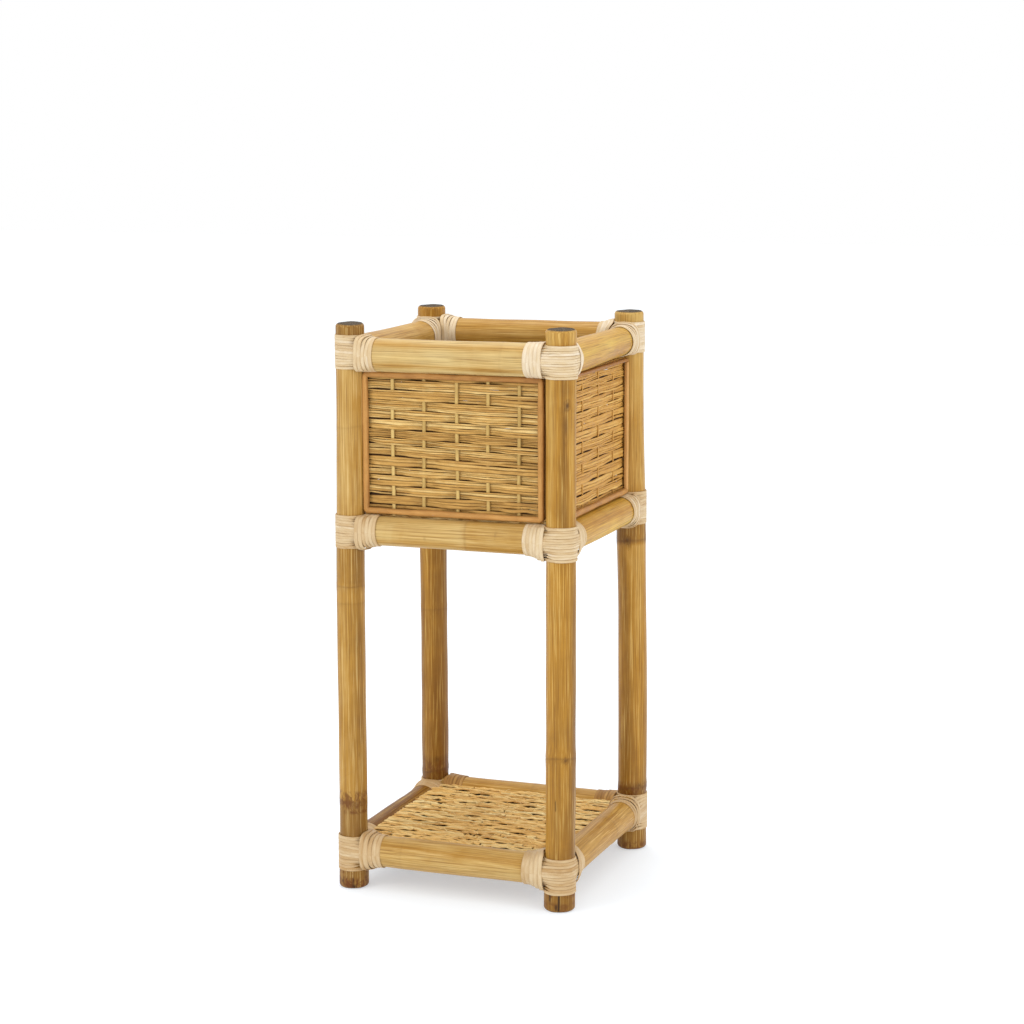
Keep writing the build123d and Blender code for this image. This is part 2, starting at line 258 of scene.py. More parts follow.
def strip_profile(w, t, dome=0.5):
    """A split strip, underside at y=0: dome 0 is flat with tight edges, 1 well rounded."""
    h = w / 2
    q = [(1.0, 0.10, 0.10), (0.975, 0.62, 0.34), (0.90, 0.90, 0.60), (0.72, 0.985, 0.82), (0.40, 1.0, 0.96)]
    left = [(-h * x, t * (flat * (1 - dome) + round_ * dome)) for x, flat, round_ in q]
    right = [(-x, y) for x, y in reversed(left)]
    return np.array(left + [(0, t)] + right + [(h * 0.6, 0), (-h * 0.6, 0)])


def ribbon(soup, path, normal, w, t, seed, scale=None, closed=False, shade=0.0, dome=0.5):
    prof = strip_profile(w, t, dome)
    P, u = sweep(path, normal, prof, scale, closed)
    nu, nv = P.shape[:2]
    fib = np.zeros((nu, nv, 3))
    fib[..., 0] = u[:, None]
    fib[..., 1] = prof[:, 0][None, :]
    fib[..., 2] = seed
    # painted shade: the edge mask is 1 at the strip's sides and underside, for darkening it where it meets its
    # neighbours
    edge = np.clip(np.abs(prof[:, 0]) / (w / 2), 0, 1) ** 3
    edge[-2:] = 1
    soup.grid(P, loop=closed, caps=not closed, fibre=fib, edge=np.broadcast_to(edge[None], (nu, nv)), shade=shade)


# ---------------------------------------------------------------- materials


class Nodes:
    def __init__(self, name):
        self.mat = bpy.data.materials.new(name)
        self.mat.use_nodes = True
        self.nt = self.mat.node_tree
        self.nt.nodes.clear()
        self.out = self.new("ShaderNodeOutputMaterial")
        self.bsdf = self.new("ShaderNodeBsdfPrincipled")
        self.nt.links.new(self.bsdf.outputs[0], self.out.inputs[0])

    def new(self, kind, **props):
        n = self.nt.nodes.new(kind)
        for k, v in props.items():
            setattr(n, k, v)
        return n

    def link(self, a, b):
        self.nt.links.new(a, b)

    def put(self, socket, value):
        if hasattr(value, "is_linked") or hasattr(value, "links"):
            self.link(value, socket)
        else:
            socket.default_value = value

    def math(self, op, a, b=None, c=None, clamp=False):
        n = self.new("ShaderNodeMath", operation=op, use_clamp=clamp)
        self.put(n.inputs[0], a)
        if b is not None:
            self.put(n.inputs[1], b)
        if c is not None:
            self.put(n.inputs[2], c)
        return n.outputs[0]

    def attr(self, name, vector=False):
        n = self.new("ShaderNodeAttribute", attribute_name=name, attribute_type="GEOMETRY")
        return n.outputs["Vector"] if vector else n.outputs["Fac"]

    def scaled(self, vec, scale, shift=None):
        n = self.new("ShaderNodeVectorMath", operation="MULTIPLY")
        self.link(vec, n.inputs[0])
        n.inputs[1].default_value = scale
        if shift is None:
            return n.outputs[0]
        m = self.new("ShaderNodeVectorMath", operation="ADD")
        self.link(n.outputs[0], m.inputs[0])
        self.put(m.inputs[1], shift)
        return m.outputs[0]

    def noise(self, vec, scale, detail=2.0, rough=0.5, distort=0.0):
        n = self.new("ShaderNodeTexNoise", noise_dimensions="3D")
        self.link(vec, n.inputs["Vector"])
        n.inputs["Scale"].default_value = scale
        n.inputs["Detail"].default_value = detail
        n.inputs["Roughness"].default_value = rough
        n.inputs["Distortion"].default_value = distort
        return n.outputs["Fac"]

    def map(self, val, a, b, c=0.0, d=1.0, smoothstep=False):
        n = self.new("ShaderNodeMapRange", interpolation_type="SMOOTHSTEP" if smoothstep else "LINEAR")
        self.link(val, n.inputs["Value"])
        n.inputs["From Min"].default_value = a
        n.inputs["From Max"].default_value = b
        n.inputs["To Min"].default_value = c
        n.inputs["To Max"].default_value = d
        return n.outputs["Result"]

    def mix(self, fac, a, b, mode="MIX"):
        n = self.new("ShaderNodeMix", data_type="RGBA", blend_type=mode, clamp_factor=True)
        self.put(n.inputs["Factor"], fac)
        for sock, val in ((n.inputs[6], a), (n.inputs[7], b)):
            if hasattr(val, "is_linked"):
                self.link(val, sock)
            else:
                sock.default_value = (*val, 1.0)
        return n.outputs[2]

    def ramp(self, fac, stops):
        n = self.new("ShaderNodeValToRGB")
        el = n.color_ramp.elements
        while len(el) < len(stops):
            el.new(0.5)
        for e, (pos, col) in zip(el, stops):
            e.position = pos
            e.color = (*col, 1.0)
        self.link(fac, n.inputs[0])
        return n.outputs["Color"]

    def bump(self, height, strength, distance, normal=None):
        n = self.new("ShaderNodeBump")
        n.inputs["Strength"].default_value = strength
        n.inputs["Distance"].default_value = distance
        self.link(height, n.inputs["Height"])
        if normal is not None:
            self.link(normal, n.inputs["Normal"])
        return n.outputs["Normal"]


def srgb(r, g, b):
    out = []
    for c in (r, g, b):
        c /= 255.0
        out.append(c / 12.92 if c <= 0.04045 else ((c + 0.055) / 1.055) ** 2.4)
    return tuple(out)


def pole_material():
    m = Nodes("rattan_pole")
    co = m.new("ShaderNodeTexCoord").outputs["Object"]
    seed = m.attr("seed")
    off = m.new("ShaderNodeCombineXYZ")
    m.link(seed, off.inputs[0])
    m.link(seed, off.inputs[2])
    # fibres run along the pole's own Z
    fine = m.noise(m.scaled(co, (1, 1, 0.014), off.outputs[0]), 760, 3.0, 0.65)
    med = m.noise(m.scaled(co, (1, 1, 0.04), off.outputs[0]), 260, 3.0, 0.6, 0.2)
    broad = m.noise(m.scaled(co, (1, 1, 0.14), off.outputs[0]), 60, 3.0, 0.55, 0.3)
    blotch = m.noise(m.scaled(co, (1, 1, 1), off.outputs[0]), 17, 4.0, 0.6, 0.6)
    tone = m.attr("tone")
    # broad colour: honey where light, brown where dark
    k = m.math("ADD", m.map(broad, 0.3, 0.7, -0.09, 0.09), m.map(blotch, 0.3, 0.7, -0.13, 0.13))
    k = m.math("ADD", k, tone)
    base = m.ramp(m.math("ADD", m.math("MULTIPLY", k, 0.5), 0.5, clamp=True), [
        (0.0, srgb(104, 68, 22)), (0.25, srgb(142, 102, 40)), (0.45, srgb(176, 130, 52)),
        (0.60, srgb(191, 152, 84)), (0.78, srgb(205, 177, 117)), (1.0, srgb(230, 206, 150))])
    streak = m.map(med, 0.44, 0.72, 0.0, 1.0)
    base = m.mix(m.math("MULTIPLY", streak, 0.20), base, srgb(128, 82, 30))
    hair = m.map(fine, 0.52, 0.66, 0.0, 1.0)
    base = m.mix(m.math("MULTIPLY", hair, 0.50), base, srgb(112, 72, 28))
    pale = m.map(fine, 0.32, 0.46, 1.0, 0.0)
    base = m.mix(m.math("MULTIPLY", pale, 0.38), base, srgb(246, 216, 150))
    base = m.mix(m.attr("warm"), base, (1.0, 0.87, 0.36), mode="MULTIPLY")
    # node rings, knots, cracks, stains, painted shadow under the lowest band, and sawn ends
    base = m.mix(m.math("MULTIPLY", m.attr("node"), 0.8, clamp=True), base, srgb(96, 60, 26))
    knot = m.math("MULTIPLY", m.attr("knot"), m.map(med, 0.25, 0.6, 0.75, 1.0), clamp=True)
    base = m.mix(knot, base, srgb(74, 42, 18))
    # stains, and painted shadow: the dark ring just under the lowest band on the front uprights
    stain_n = m.noise(m.scaled(co, (1, 1, 0.6), off.outputs[0]), 130, 4.0, 0.65, 0.8)
    stain = m.math("MULTIPLY", m.attr("stain"), m.map(stain_n, 0.42, 0.60, 0.0, 1.0, True), clamp=True)
    base = m.mix(stain, base, srgb(104, 58, 16))
    base = m.mix(m.attr("crack"), base, srgb(34, 20, 10))
    pores = m.noise(m.scaled(co, (1, 1, 0.3), off.outputs[0]), 900, 2.0, 0.6)
    cutc = m.ramp(m.map(pores, 0.32, 0.68, 0.0, 1.0), [
        (0.0, srgb(30, 24, 18)), (0.45, srgb(66, 54, 42)), (0.75, srgb(98, 84, 66)), (1.0, srgb(150, 134, 110))])
    base = m.mix(m.attr("cut"), base, cutc)
    m.link(base, m.bsdf.inputs["Base Color"])
    rough = m.math("ADD", m.map(broad, 0.3, 0.7, 0.34, 0.48), m.math("MULTIPLY", m.attr("cut"), 0.4))
    m.link(rough, m.bsdf.inputs["Roughness"])
    m.bsdf.inputs["Specular IOR Level"].default_value = 0.22
    h = m.math("ADD", m.math("MULTIPLY", fine, 0.5), m.math("MULTIPLY", med, 0.7))
    h = m.math("ADD", h, m.math("MULTIPLY", m.math("MULTIPLY", pores, m.attr("cut")), 2.0))
    m.link(m.bump(h, 0.5, 0.0007), m.bsdf.inputs["Normal"])
    return m.mat


def strip_material(name, dark, mid, light, line, rough=(0.42, 0.56), streak=0.5, bump=0.4, hue=None, edge=0.5):
    """Split cane: colour, fine lines and ridges all run along the strip."""
    m = Nodes(name)
    fib = m.attr("fibre", vector=True)
    sep = m.new("ShaderNodeSeparateXYZ")
    m.link(fib, sep.inputs[0])
    seed = sep.outputs[2]
    lines = m.noise(m.scaled(fib, (0.035, 2.6, 3.7)), 1.0, 3.0, 0.6)
    hair = m.noise(m.scaled(fib, (0.06, 7.0, 5.1)), 1.0, 2.0, 0.5)
    cloud = m.noise(m.scaled(fib, (0.05, 0.15, 2.3)), 1.0, 3.0, 0.6)
    w = m.new("ShaderNodeTexWhiteNoise", noise_dimensions="1D")
    m.link(seed, w.inputs["W"])
    each = w.outputs["Value"]
    k = m.math("ADD", m.map(cloud, 0.3, 0.7, -0.25, 0.25), m.map(each, 0.0, 1.0, -0.26, 0.26))
    k = m.math("ADD", k, m.attr("shade"))
    base = m.ramp(m.math("ADD", m.math("MULTIPLY", k, 0.8), 0.5, clamp=True), [(0.0, dark), (0.5, mid), (1.0, light)])
    if hue is not None:
        w2 = m.new("ShaderNodeTexWhiteNoise", noise_dimensions="1D")
        m.link(m.math("ADD", seed, 7.31), w2.inputs["W"])
        base = m.mix(m.math("MULTIPLY", w2.outputs["Value"], 0.45), base, hue)
    base = m.mix(m.math("MULTIPLY", m.map(lines, 0.48, 0.70, 0.0, 1.0), streak), base, line)
    base = m.mix(m.math("MULTIPLY", m.map(hair, 0.30, 0.44, 1.0, 0.0), streak * 0.45), base, light)
    # painted shade: the strip darkens towards its edges, where it meets its neighbours
    base = m.mix(m.math("MULTIPLY", m.attr("edge"), edge), base, line)
    m.link(base, m.bsdf.inputs["Base Color"])
    m.link(m.map(cloud, 0.3, 0.7, rough[0], rough[1]), m.bsdf.inputs["Roughness"])
    m.bsdf.inputs["Specular IOR Level"].default_value = 0.22
    h = m.math("ADD", m.math("MULTIPLY", lines, 1.0), m.math("MULTIPLY", hair, 0.45))
    m.link(m.bump(h, bump, 0.0007), m.bsdf.inputs["Normal"])
    return m.mat


def board_material():
    m = Nodes("slat_wood")
    co = m.new("ShaderNodeTexCoord").outputs["Object"]
    grain = m.noise(m.scaled(co, (1.0, 0.05, 1.0)), 420, 4.0, 0.6, 0.3)
    rings = m.noise(m.scaled(co, (1.0, 0.08, 1.0)), 60, 3.0, 0.5, 0.5)
    base = m.ramp(m.map(rings, 0.3, 0.7), [(0.0, srgb(170, 128, 80)), (0.6, srgb(205, 166, 112)), (1.0, srgb(222, 190, 140))])
    base = m.mix(m.math("MULTIPLY", m.map(grain, 0.5, 0.7), 0.4), base, srgb(140, 98, 56))
    m.link(base, m.bsdf.inputs["Base Color"])
    m.link(m.map(grain, 0.3, 0.7, 0.5, 0.68), m.bsdf.inputs["Roughness"])
    m.link(m.bump(grain, 0.35, 0.0005), m.bsdf.inputs["Normal"])
    return m.mat


def steel_material():
    m = Nodes("steel")
    co = m.new("ShaderNodeTexCoord").outputs["Object"]
    n = m.noise(m.scaled(co, (1, 1, 1)), 900, 3.0, 0.6)
    m.link(m.ramp(m.map(n, 0.3, 0.7), [(0.0, srgb(120, 120, 122)), (1.0, srgb(176, 176, 178))]), m.bsdf.inputs["Base Color"])
    m.bsdf.inputs["Metallic"].default_value = 1.0
    m.link(m.map(n, 0.3, 0.7, 0.3, 0.45), m.bsdf.inputs["Roughness"])
    return m.mat


MAT_POLE = pole_material()
MAT_PEEL = strip_material(
    "rattan_peel", srgb(182, 144, 92), srgb(214, 190, 150), srgb(238, 227, 208), srgb(176, 132, 84),
    rough=(0.42, 0.56), streak=0.26, bump=0.3, hue=srgb(218, 195, 154), edge=0.26)
# painted shade: a browner copy of the peel, for wraps that sit in the stand's shade
MAT_PEEL_SHADED = strip_material(
    "rattan_peel_shaded", srgb(128, 88, 40), srgb(174, 130, 70), srgb(204, 164, 100), srgb(96, 60, 26),
    rough=(0.42, 0.56), streak=0.3, bump=0.3, edge=0.5)
MAT_WEAVE = strip_material(
    "woven_cane", srgb(172, 124, 58), srgb(214, 166, 88), srgb(246, 212, 140), srgb(92, 54, 18),
    rough=(0.46, 0.62), streak=0.62, bump=0.7, edge=0.72)
# painted light: a copy of the weave colours for the right panel and its stakes, toned for the light on that side
MAT_WEAVE_RIGHT_LIT = strip_material(
    "woven_cane_right_lit", srgb(174, 122, 50), srgb(206, 153, 72), srgb(230, 188, 108), srgb(116, 70, 24),
    rough=(0.46, 0.62), streak=0.42, bump=0.45, edge=0.42)
MAT_STAKE = strip_material(
    "woven_cane_stake", srgb(168, 134, 72), srgb(206, 172, 102), srgb(228, 198, 130), srgb(130, 96, 48),
    rough=(0.45, 0.6), streak=0.3, bump=0.3, edge=0.4)
# painted shade: a near-black cane colour for the strips laid under gaps in the weaving
MAT_PAINTED_SHADE = strip_material(
    "woven_cane_painted_shade", srgb(44, 26, 10), srgb(64, 40, 18), srgb(86, 56, 26), srgb(34, 20, 8),
    rough=(0.6, 0.8), streak=0.4, bump=0.3, edge=0.3)
MAT_SHELF = strip_material(
    "woven_cane_shelf", srgb(204, 152, 76), srgb(246, 202, 120), srgb(255, 238, 176), srgb(136, 84, 32),
    rough=(0.5, 0.66), streak=0.6, bump=0.7, edge=0.45)
MAT_TRIM = strip_material(
    "cane_trim", srgb(154, 104, 50), srgb(198, 146, 78), srgb(222, 172, 102), srgb(118, 72, 32),
    rough=(0.40, 0.54), streak=0.45, bump=0.3, hue=srgb(190, 130, 72), edge=0.35)
MAT_BOARD = board_material()
MAT_STEEL = steel_material()

# -------------------------------------------------------------------- poles


def pole(name, length, radius, seed, matrix, cols=96, step=1.6, tone=0.0, nodes=(), knots=(), cracks=(),
         stains=(), sawn=(False, False), bend=0.5, edge=4.0, tone_end=None, line=None, bars=(), rings=(), warm=0.0,
         swell=(), slope=None, taper=None):
    rng = np.random.default_rng(seed)
    rows = []
    if sawn[0]:
        for q in (0.06, 0.3, 0.52, 0.7, (radius - edge) / radius):
            rows.append((0.0, q * radius, 1.0))
        for a in np.linspace(8, 84, 8):
            t = math.radians(a)
            rows.append((edge * (1 - math.cos(t)), radius - edge + edge * math.sin(t), float(1 - smooth(10, 50, a))))
    lo = edge if sawn[0] else 0.0
    hi = length - edge if sawn[1] else length
    for s in np.linspace(lo, hi, max(2, int((hi - lo) / step))):
        rows.append((s, radius, 0.0))
    if sawn[1]:
        for a in np.linspace(84, 8, 8):
            t = math.radians(a)
            rows.append((length - edge * (1 - math.cos(t)), radius - edge + edge * math.sin(t), float(1 - smooth(10, 50, a))))
        for q in ((radius - edge) / radius, 0.7, 0.52, 0.3, 0.06):
            rows.append((length, q * radius, 1.0))
    rows = np.array(rows)
    s = rows[:, 0][:, None]
    r0 = rows[:, 1][:, None]
    cut = np.repeat(rows[:, 2][:, None], cols, 1)
    th = np.linspace(0, 2 * math.pi, cols, endpoint=False)[None, :]
    frac = r0 / radius
    dr = np.zeros((len(rows), cols))
    for n in range(3):
        dr += rng.uniform(0.05, 0.2) * np.sin(2 * math.pi * s / rng.uniform(90, 320) + rng.uniform(0, 6.28))
    for n in (2, 3, 5):
        dr += rng.uniform(0.04, 0.13) * np.cos(n * th + rng.uniform(0, 6.28) + s / rng.uniform(120, 300))
    node = np.zeros_like(dr)
    knot = np.zeros_like(dr)
    crack = np.zeros_like(dr)
    stain = np.zeros_like(dr)
    for (s0, width, amount) in swell:
        dr += amount * np.exp(-((s - s0) / width) ** 2)
    if taper is not None:
        dr += (taper[0] - radius) + (taper[1] - taper[0]) * s / length
    for (s0, amp, width, tilt, phase, dark) in nodes:
        c = s0 + tilt * np.cos(th - math.radians(phase)) + 0.5 * np.sin(3 * th + s0)
        d = s - c
        dr += amp * np.exp(-(d / width) ** 2) - 0.35 * amp * np.exp(-(d / 1.1) ** 2)
        ragged = 0.75 + 0.25 * np.sin(7 * th + s0) * np.sin(11 * th)
        node += dark * ragged * np.exp(-(d / 1.3) ** 2) + 0.25 * dark * np.exp(-((d + 3) / 4.0) ** 2)
    for (ang, s0, a, b, dent, dark) in knots:
        du = (np.mod(np.degrees(th) - ang + 180, 360) - 180) * math.pi / 180 * radius
        wob = 1 + 0.18 * np.sin(4 * np.arctan2(du, (s - s0)) + s0)
        d2 = ((du / a) ** 2 + ((s - s0) / b) ** 2) * wob
        dr += -dent * np.exp(-d2 * 1.6) + dent * 0.8 * np.exp(-((np.sqrt(d2) - 1.5) / 0.5) ** 2)
        knot += dark * np.exp(-d2 ** 1.3)
        knot += 0.35 * dark * np.exp(-((np.sqrt(d2) - 1.6) / 0.25) ** 2)
    for (ang, sa, sb, w, depth, dark) in cracks:
        drift = 1.2 * np.sin((s - sa) / 11.0 + ang)
        du = (np.mod(np.degrees(th) - ang + 180, 360) - 180) * math.pi / 180 * radius - drift * 0.4
        win = smooth(sa, sa + 3, s) * (1 - smooth(sb - 3, sb, s))
        g = np.exp(-(du / w) ** 2) * win
        dr -= depth * g
        crack += dark * g
    for (sa, sb, strength) in stains:
        stain += strength * smooth(sa - 3, sa, s) * (1 - smooth(sb, sb + 6, s))
    r = (r0 + dr * frac)
    bx = bend * np.sin(math.pi * s / length * rng.uniform(0.8, 1.4) + rng.uniform(0, 3)) * rng.choice([-1, 1])
    by = bend * np.sin(math.pi * s / length * rng.uniform(0.8, 1.4) + rng.uniform(0, 3)) * rng.choice([-1, 1])
    if line is not None:
        off = line(s[:, 0])
        bx = bx + off[0][:, None]
        by = by + off[1][:, None]
    z = s + (0.22 * np.cos(2 * th + 1) + 0.15 * np.cos(5 * th)) * cut * frac * (1 if sawn[1] else 1) * np.where(s > length / 2, -1, 1)
    P = np.stack([r * np.cos(th) + bx, r * np.sin(th) + by, np.broadcast_to(z, r.shape)], -1)
    if slope is not None:                         # the upper end is sawn a little askew
        P[..., 2] -= slope[0] * (1 + frac * np.cos(th - math.radians(slope[1]))) / 2 * smooth(length - 26, length - 5, s)
    P[..., 2] = np.clip(P[..., 2], 0, length)
    # painted light: a pole can grow lighter along its length, from tone to tone_end; the uprights are lighter towards
    # the top, where more light falls
    if tone_end is None:
        tone_end = tone
    tones = tone + (tone_end - tone) * s / length + 0 * th
    for (ang, wide, sa, sb, amount) in bars:      # long light or dark streaks: streaks in the cane, and on the front right upright painted light and shade down its sides
        d = (np.mod(np.degrees(th) - ang + 180, 360) - 180) + 5 * np.sin(s / 60 + ang)
        tones = tones + amount * np.exp(-(d / wide) ** 2) * smooth(sa - 25, sa + 25, s) * (1 - smooth(sb - 25, sb + 25, s))
    for (sa, sb, amount) in rings:                # darker or lighter lengths
        tones = tones + amount * smooth(sa - 4, sa + 4, s) * (1 - smooth(sb - 4, sb + 4, s))
    soup = Soup()
    soup.grid(P, cut=cut, node=np.clip(node, 0, 1), knot=np.clip(knot, 0, 1), crack=np.clip(crack, 0, 1),
              stain=np.clip(stain, 0, 1), tone=tones, warm=warm, seed=float(rng.uniform(0, 9)))
    return soup.object(name, MAT_POLE, matrix)


def keep(ob, slot, *nodes):
    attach(ob, "root")
    if nodes:
        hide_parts(*nodes)


POST_DETAIL = {
    "front_left": dict(
        tone=-0.28, tone_end=0.10, cols=120, warm=0.0, swell=[(0, 46, 1.3)], slope=(2.4, -70),
        nodes=[(379, 0.25, 6, 1.2, -60, 0.55), (358, 0.12, 5, 1.0, -40, 0.3), (109, 0.3, 7, 1.5, -100, 0.55), (575, 0.15, 6, 1, 40, 0.2)],
        knots=[(-75, 300, 1.0, 5, 0.15, 0.30), (-40, 170, 0.9, 4, 0.1, 0.35)],
        cracks=[(-66, 0, 7, 2.6, 0.3, 0.8), (-70, 4, 16, 0.8, 0.3, 0.6), (-118, 6, 13, 1.4, 0.3, 0.7)],
        # painted shadow: the stain at 20.5 to 25 is the shadow just under the lowest band
        stains=[(0, 12, 1.0), (20.5, 25, 0.9), (97, 120, 0.8)], bars=[(-30, 22, 40, 440, -0.22), (-100, 26, 120, 700, 0.12)],
        rings=[(682, 702, -0.60), (382, 430, -0.26), (66, 112, -0.22), (-10, 26, -0.25)]),
    "front_right": dict(
        tone=-0.43, tone_end=-0.02, cols=144, warm=0.42, swell=[(0, 34, 0.8), (697, 11, 0.6)], slope=(1.6, -70),
        nodes=[(188, 0.55, 9, 2.2, -60, 0.55), (462, 0.1, 6, 1, 0, 0.1)],
        knots=[(-53, 188, 2.6, 2.2, 0.45, 0.75), (-46, 612, 2.6, 4.2, 0.25, 0.85), (-52, 588, 2.6, 13, 0.10, 0.45), (-60, 560, 1.6, 22, 0.05, 0.3), (-95, 250, 0.7, 5, 0.08, 0.3)],
        cracks=[(-91, 124, 140, 0.55, 0.35, 0.75), (-75, 0, 24, 1.2, 0.5, 1.0), (-83, 1, 12, 1.3, 0.35, 0.75), (-110, 12, 24, 1.3, 0.25, 0.8)],
        # painted shadow: the stain at 19.5 to 24 is the shadow just under the lowest band
        stains=[(0, 9, 0.65), (19.5, 24, 0.9)], bars=[(-58, 17, 440, 690, -0.34), (-24, 12, 430, 700, 0.22), (-118, 18, 430, 700, 0.30), (-62, 20, 60, 420, 0.12), (-118, 22, 60, 430, 0.22),
              # painted shade and light: this upright's right side is made darker and its front-left side lighter, for
              # how the light falls
              (-12, 18, 20, 690, -0.24), (-140, 18, 20, 690, 0.16)],
        rings=[(684, 702, 0.16), (-10, 22, -0.08), (24, 430, -0.06)]),
    "rear_left": dict(
        tone=-0.72, tone_end=-0.24, warm=0.6,
        nodes=[(80, 0.6, 4, 3.0, 20, 0.95), (300, 0.2, 7, 1.0, 90, 0.3)],
        knots=[(-60, 96, 1.6, 3, 0.2, 0.5)], stains=[(0, 10, 0.6), (66, 92, 0.6)],
        slope=(1.2, -70), bars=[(-100, 24, 60, 440, 0.28)], rings=[(66, 100, -0.2)]),
    "rear_right": dict(
        tone=-0.54, tone_end=0.28, warm=0.35,
        nodes=[(82, 0.7, 6, 2.0, -10, 0.9), (408, 0.4, 6, 1.6, 30, 0.6)],
        knots=[(-88, 409, 2.6, 3.2, 0.3, 0.9), (-84, 401, 2.0, 3.0, 0.2, 0.5), (-45, 86, 2.2, 2.0, 0.3, 0.6)], stains=[(0, 8, 0.8), (70, 82, 0.8)],
        swell=[(0, 40, 0.7)], slope=(1.2, -70),
        bars=[(-40, 22, 80, 430, 0.22), (-100, 18, 80, 430, -0.2)], rings=[(404, 430, -0.55), (64, 90, -0.25)]),
}
for i, (corner, (cx, cy)) in enumerate(CORNERS.items()):
    at = Matrix.Translation((cx * POST_C * MM, cy * POST_C * MM, 0))
    ob = pole(f"post_{corner}_cane", HEIGHT, POST_R[corner], 11 + i, at, sawn=(True, True), bend=0.3,
              line=lambda z, corner=corner: (lean(corner, z) * LEAN_WAY[0], lean(corner, z) * LEAN_WAY[1]),
              **POST_DETAIL[corner])
    keep(ob, "rattan_pole", f"post_{corner}")

# per-rail lightness, partly painted light: the front rails are lighter the higher they sit, where more light falls
RAIL_TONE = {
    ("top", "front"): 0.48, ("middle", "front"): 0.33, ("bottom", "front"): 0.19,
    ("top", "right"): 0.28, ("middle", "right"): 0.28, ("bottom", "right"): 0.0,
    ("top", "rear"): 0.06, ("middle", "rear"): 0.0, ("bottom", "rear"): 0.02,
    ("top", "left"): 0.1, ("middle", "left"): 0.0, ("bottom", "left"): -0.85,
}
RAIL_WARM = {("top", "right"): 0.9, ("middle", "right"): 1.0, ("bottom", "right"): 0.3, ("bottom", "left"): 0.95,
             ("top", "rear"): 0.3, ("top", "left"): 0.3}
RAIL_DETAIL = {
    ("middle", "front"): dict(nodes=[(146.0, 0.15, 6, 1.2, 20, 0.32)], knots=[(10, 96, 2.2, 1.1, 0.1, 0.3), (-20, 186, 3.0, 0.9, 0.1, 0.3)],
                              bars=[(38, 12, 0, 271, -0.30)], rings=[(146, 271, -0.22)]),
    ("bottom", "front"): dict(nodes=[(60.0, 0.2, 8, 1.0, 0, 0.12)], knots=[(-12, 118, 0.8, 16, 0.08, 0.22), (24, 176, 0.8, 13, 0.08, 0.2)],
                              bars=[(-36, 14, 0, 271, -0.30), (20, 14, 0, 271, 0.1)]),
    ("top", "front"): dict(nodes=[(192.0, 0.15, 7, 1.0, 10, 0.12)], knots=[(-34, 150, 0.7, 14, 0.06, 0.2)],
                           bars=[(38, 10, 0, 271, -0.42), (-48, 13, 0, 271, -0.32), (62, 8, 0, 271, 0.2)]),
    ("top", "right"): dict(bars=[(30, 16, 0, 271, -0.28), (-20, 12, 0, 271, 0.2), (58, 10, 0, 271, 0.15)]),
    ("middle", "right"): dict(bars=[(-30, 16, 0, 271, -0.3), (34, 14, 0, 271, 0.2)]),
    ("bottom", "right"): dict(nodes=[(150.0, 0.3, 7, 1.5, 60, 0.3)]),
    ("bottom", "left"): dict(nodes=[(90.0, 0.3, 7, 1.5, 180, 0.4)]),
    ("bottom", "rear"): dict(nodes=[(120.0, 0.2, 7, 1.5, 160, 0.3)]),
}
RAIL_IN = 9.5


def corner_at(side, end):
    return next(c for c in CORNERS if (side, end) in joints_of(c))


def rail_drift(level, side, u):
    """Sideways shift of a rail's centre line, so that it meets the crooked uprights."""
    if level != "bottom":
        return 0.0 * np.asarray(u, float)
    n = np.array([*outward(side), 0.0])
    ends = [float(lean(corner_at(side, e), BAND_Z[level])) * float(n @ LEAN_WAY) for e in (-1, 1)]
    t = (np.asarray(u, float) + POST_C) / (2 * POST_C)
    return ends[0] + (ends[1] - ends[0]) * t


for level, sides in RAILS.items():
    for side, (z, r) in sides.items():
        u, n = along(side), outward(side)
        length = 2 * (POST_C - RAIL_IN)
        rot = Matrix(((n[0], 0, u[0]), (n[1], 0, u[1]), (0, -1, 0)))
        at = Matrix.Translation(Vector((n[0] * POST_C - u[0] * length / 2, n[1] * POST_C - u[1] * length / 2, z)) * MM) @ rot.to_4x4()
        seed = 40 + 7 * ["bottom", "middle", "top"].index(level) + SIDES.index(side)
        ob = pole(f"rail_{level}_{side}_cane", length, r, seed, at, tone=RAIL_TONE[level, side], bend=0.25,
                  line=lambda s_, level=level, side=side, length=length, z=z: (
                      rail_drift(level, side, s_ - length / 2), z - rail_here(level, side, -1, s_ + RAIL_IN)[0] + 0 * s_),
                  taper=tuple(rail_here(level, side, -1, p)[1] for p in (RAIL_IN, RAIL_IN + length)),
                  warm=RAIL_WARM.get((level, side), 0.0), **RAIL_DETAIL.get((level, side), {}))
        keep(ob, "rattan_pole", f"rail_{level}_{side}")

# --------------------------------------------------- peel round the uprights


def corner_frame(corner):
    """Unit vectors into the stand along each of the two poles at a corner."""
    cx, cy = CORNERS[corner]
    out = []
    for side, end in joints_of(corner):
        u = along(side)
        out.append(np.array([-end * u[0], -end * u[1], 0.0]))
    return np.array([cx * POST_C, cy * POST_C, 0.0]), out[0], out[1]


BAND_STRIPS = {"bottom": 12, "middle": 13, "top": 13}
CROWN = {"front_left": 0.12, "front_right": 0.62, "rear_left": 0.4, "rear_right": 0.15}
# the first table darkens the peel further at some corners; the second is painted shade by height: the peel is darker
# the lower it sits, where less light reaches
PEEL_DARKER_AT = {("bottom", "rear_left"): -0.28, ("top", "front_left"): -0.24, ("middle", "front_left"): -0.16, ("bottom", "front_left"): -0.06}
PEEL_SHADE_BY_LEVEL = {"bottom": -0.36, "middle": -0.12, "top": 0.22}


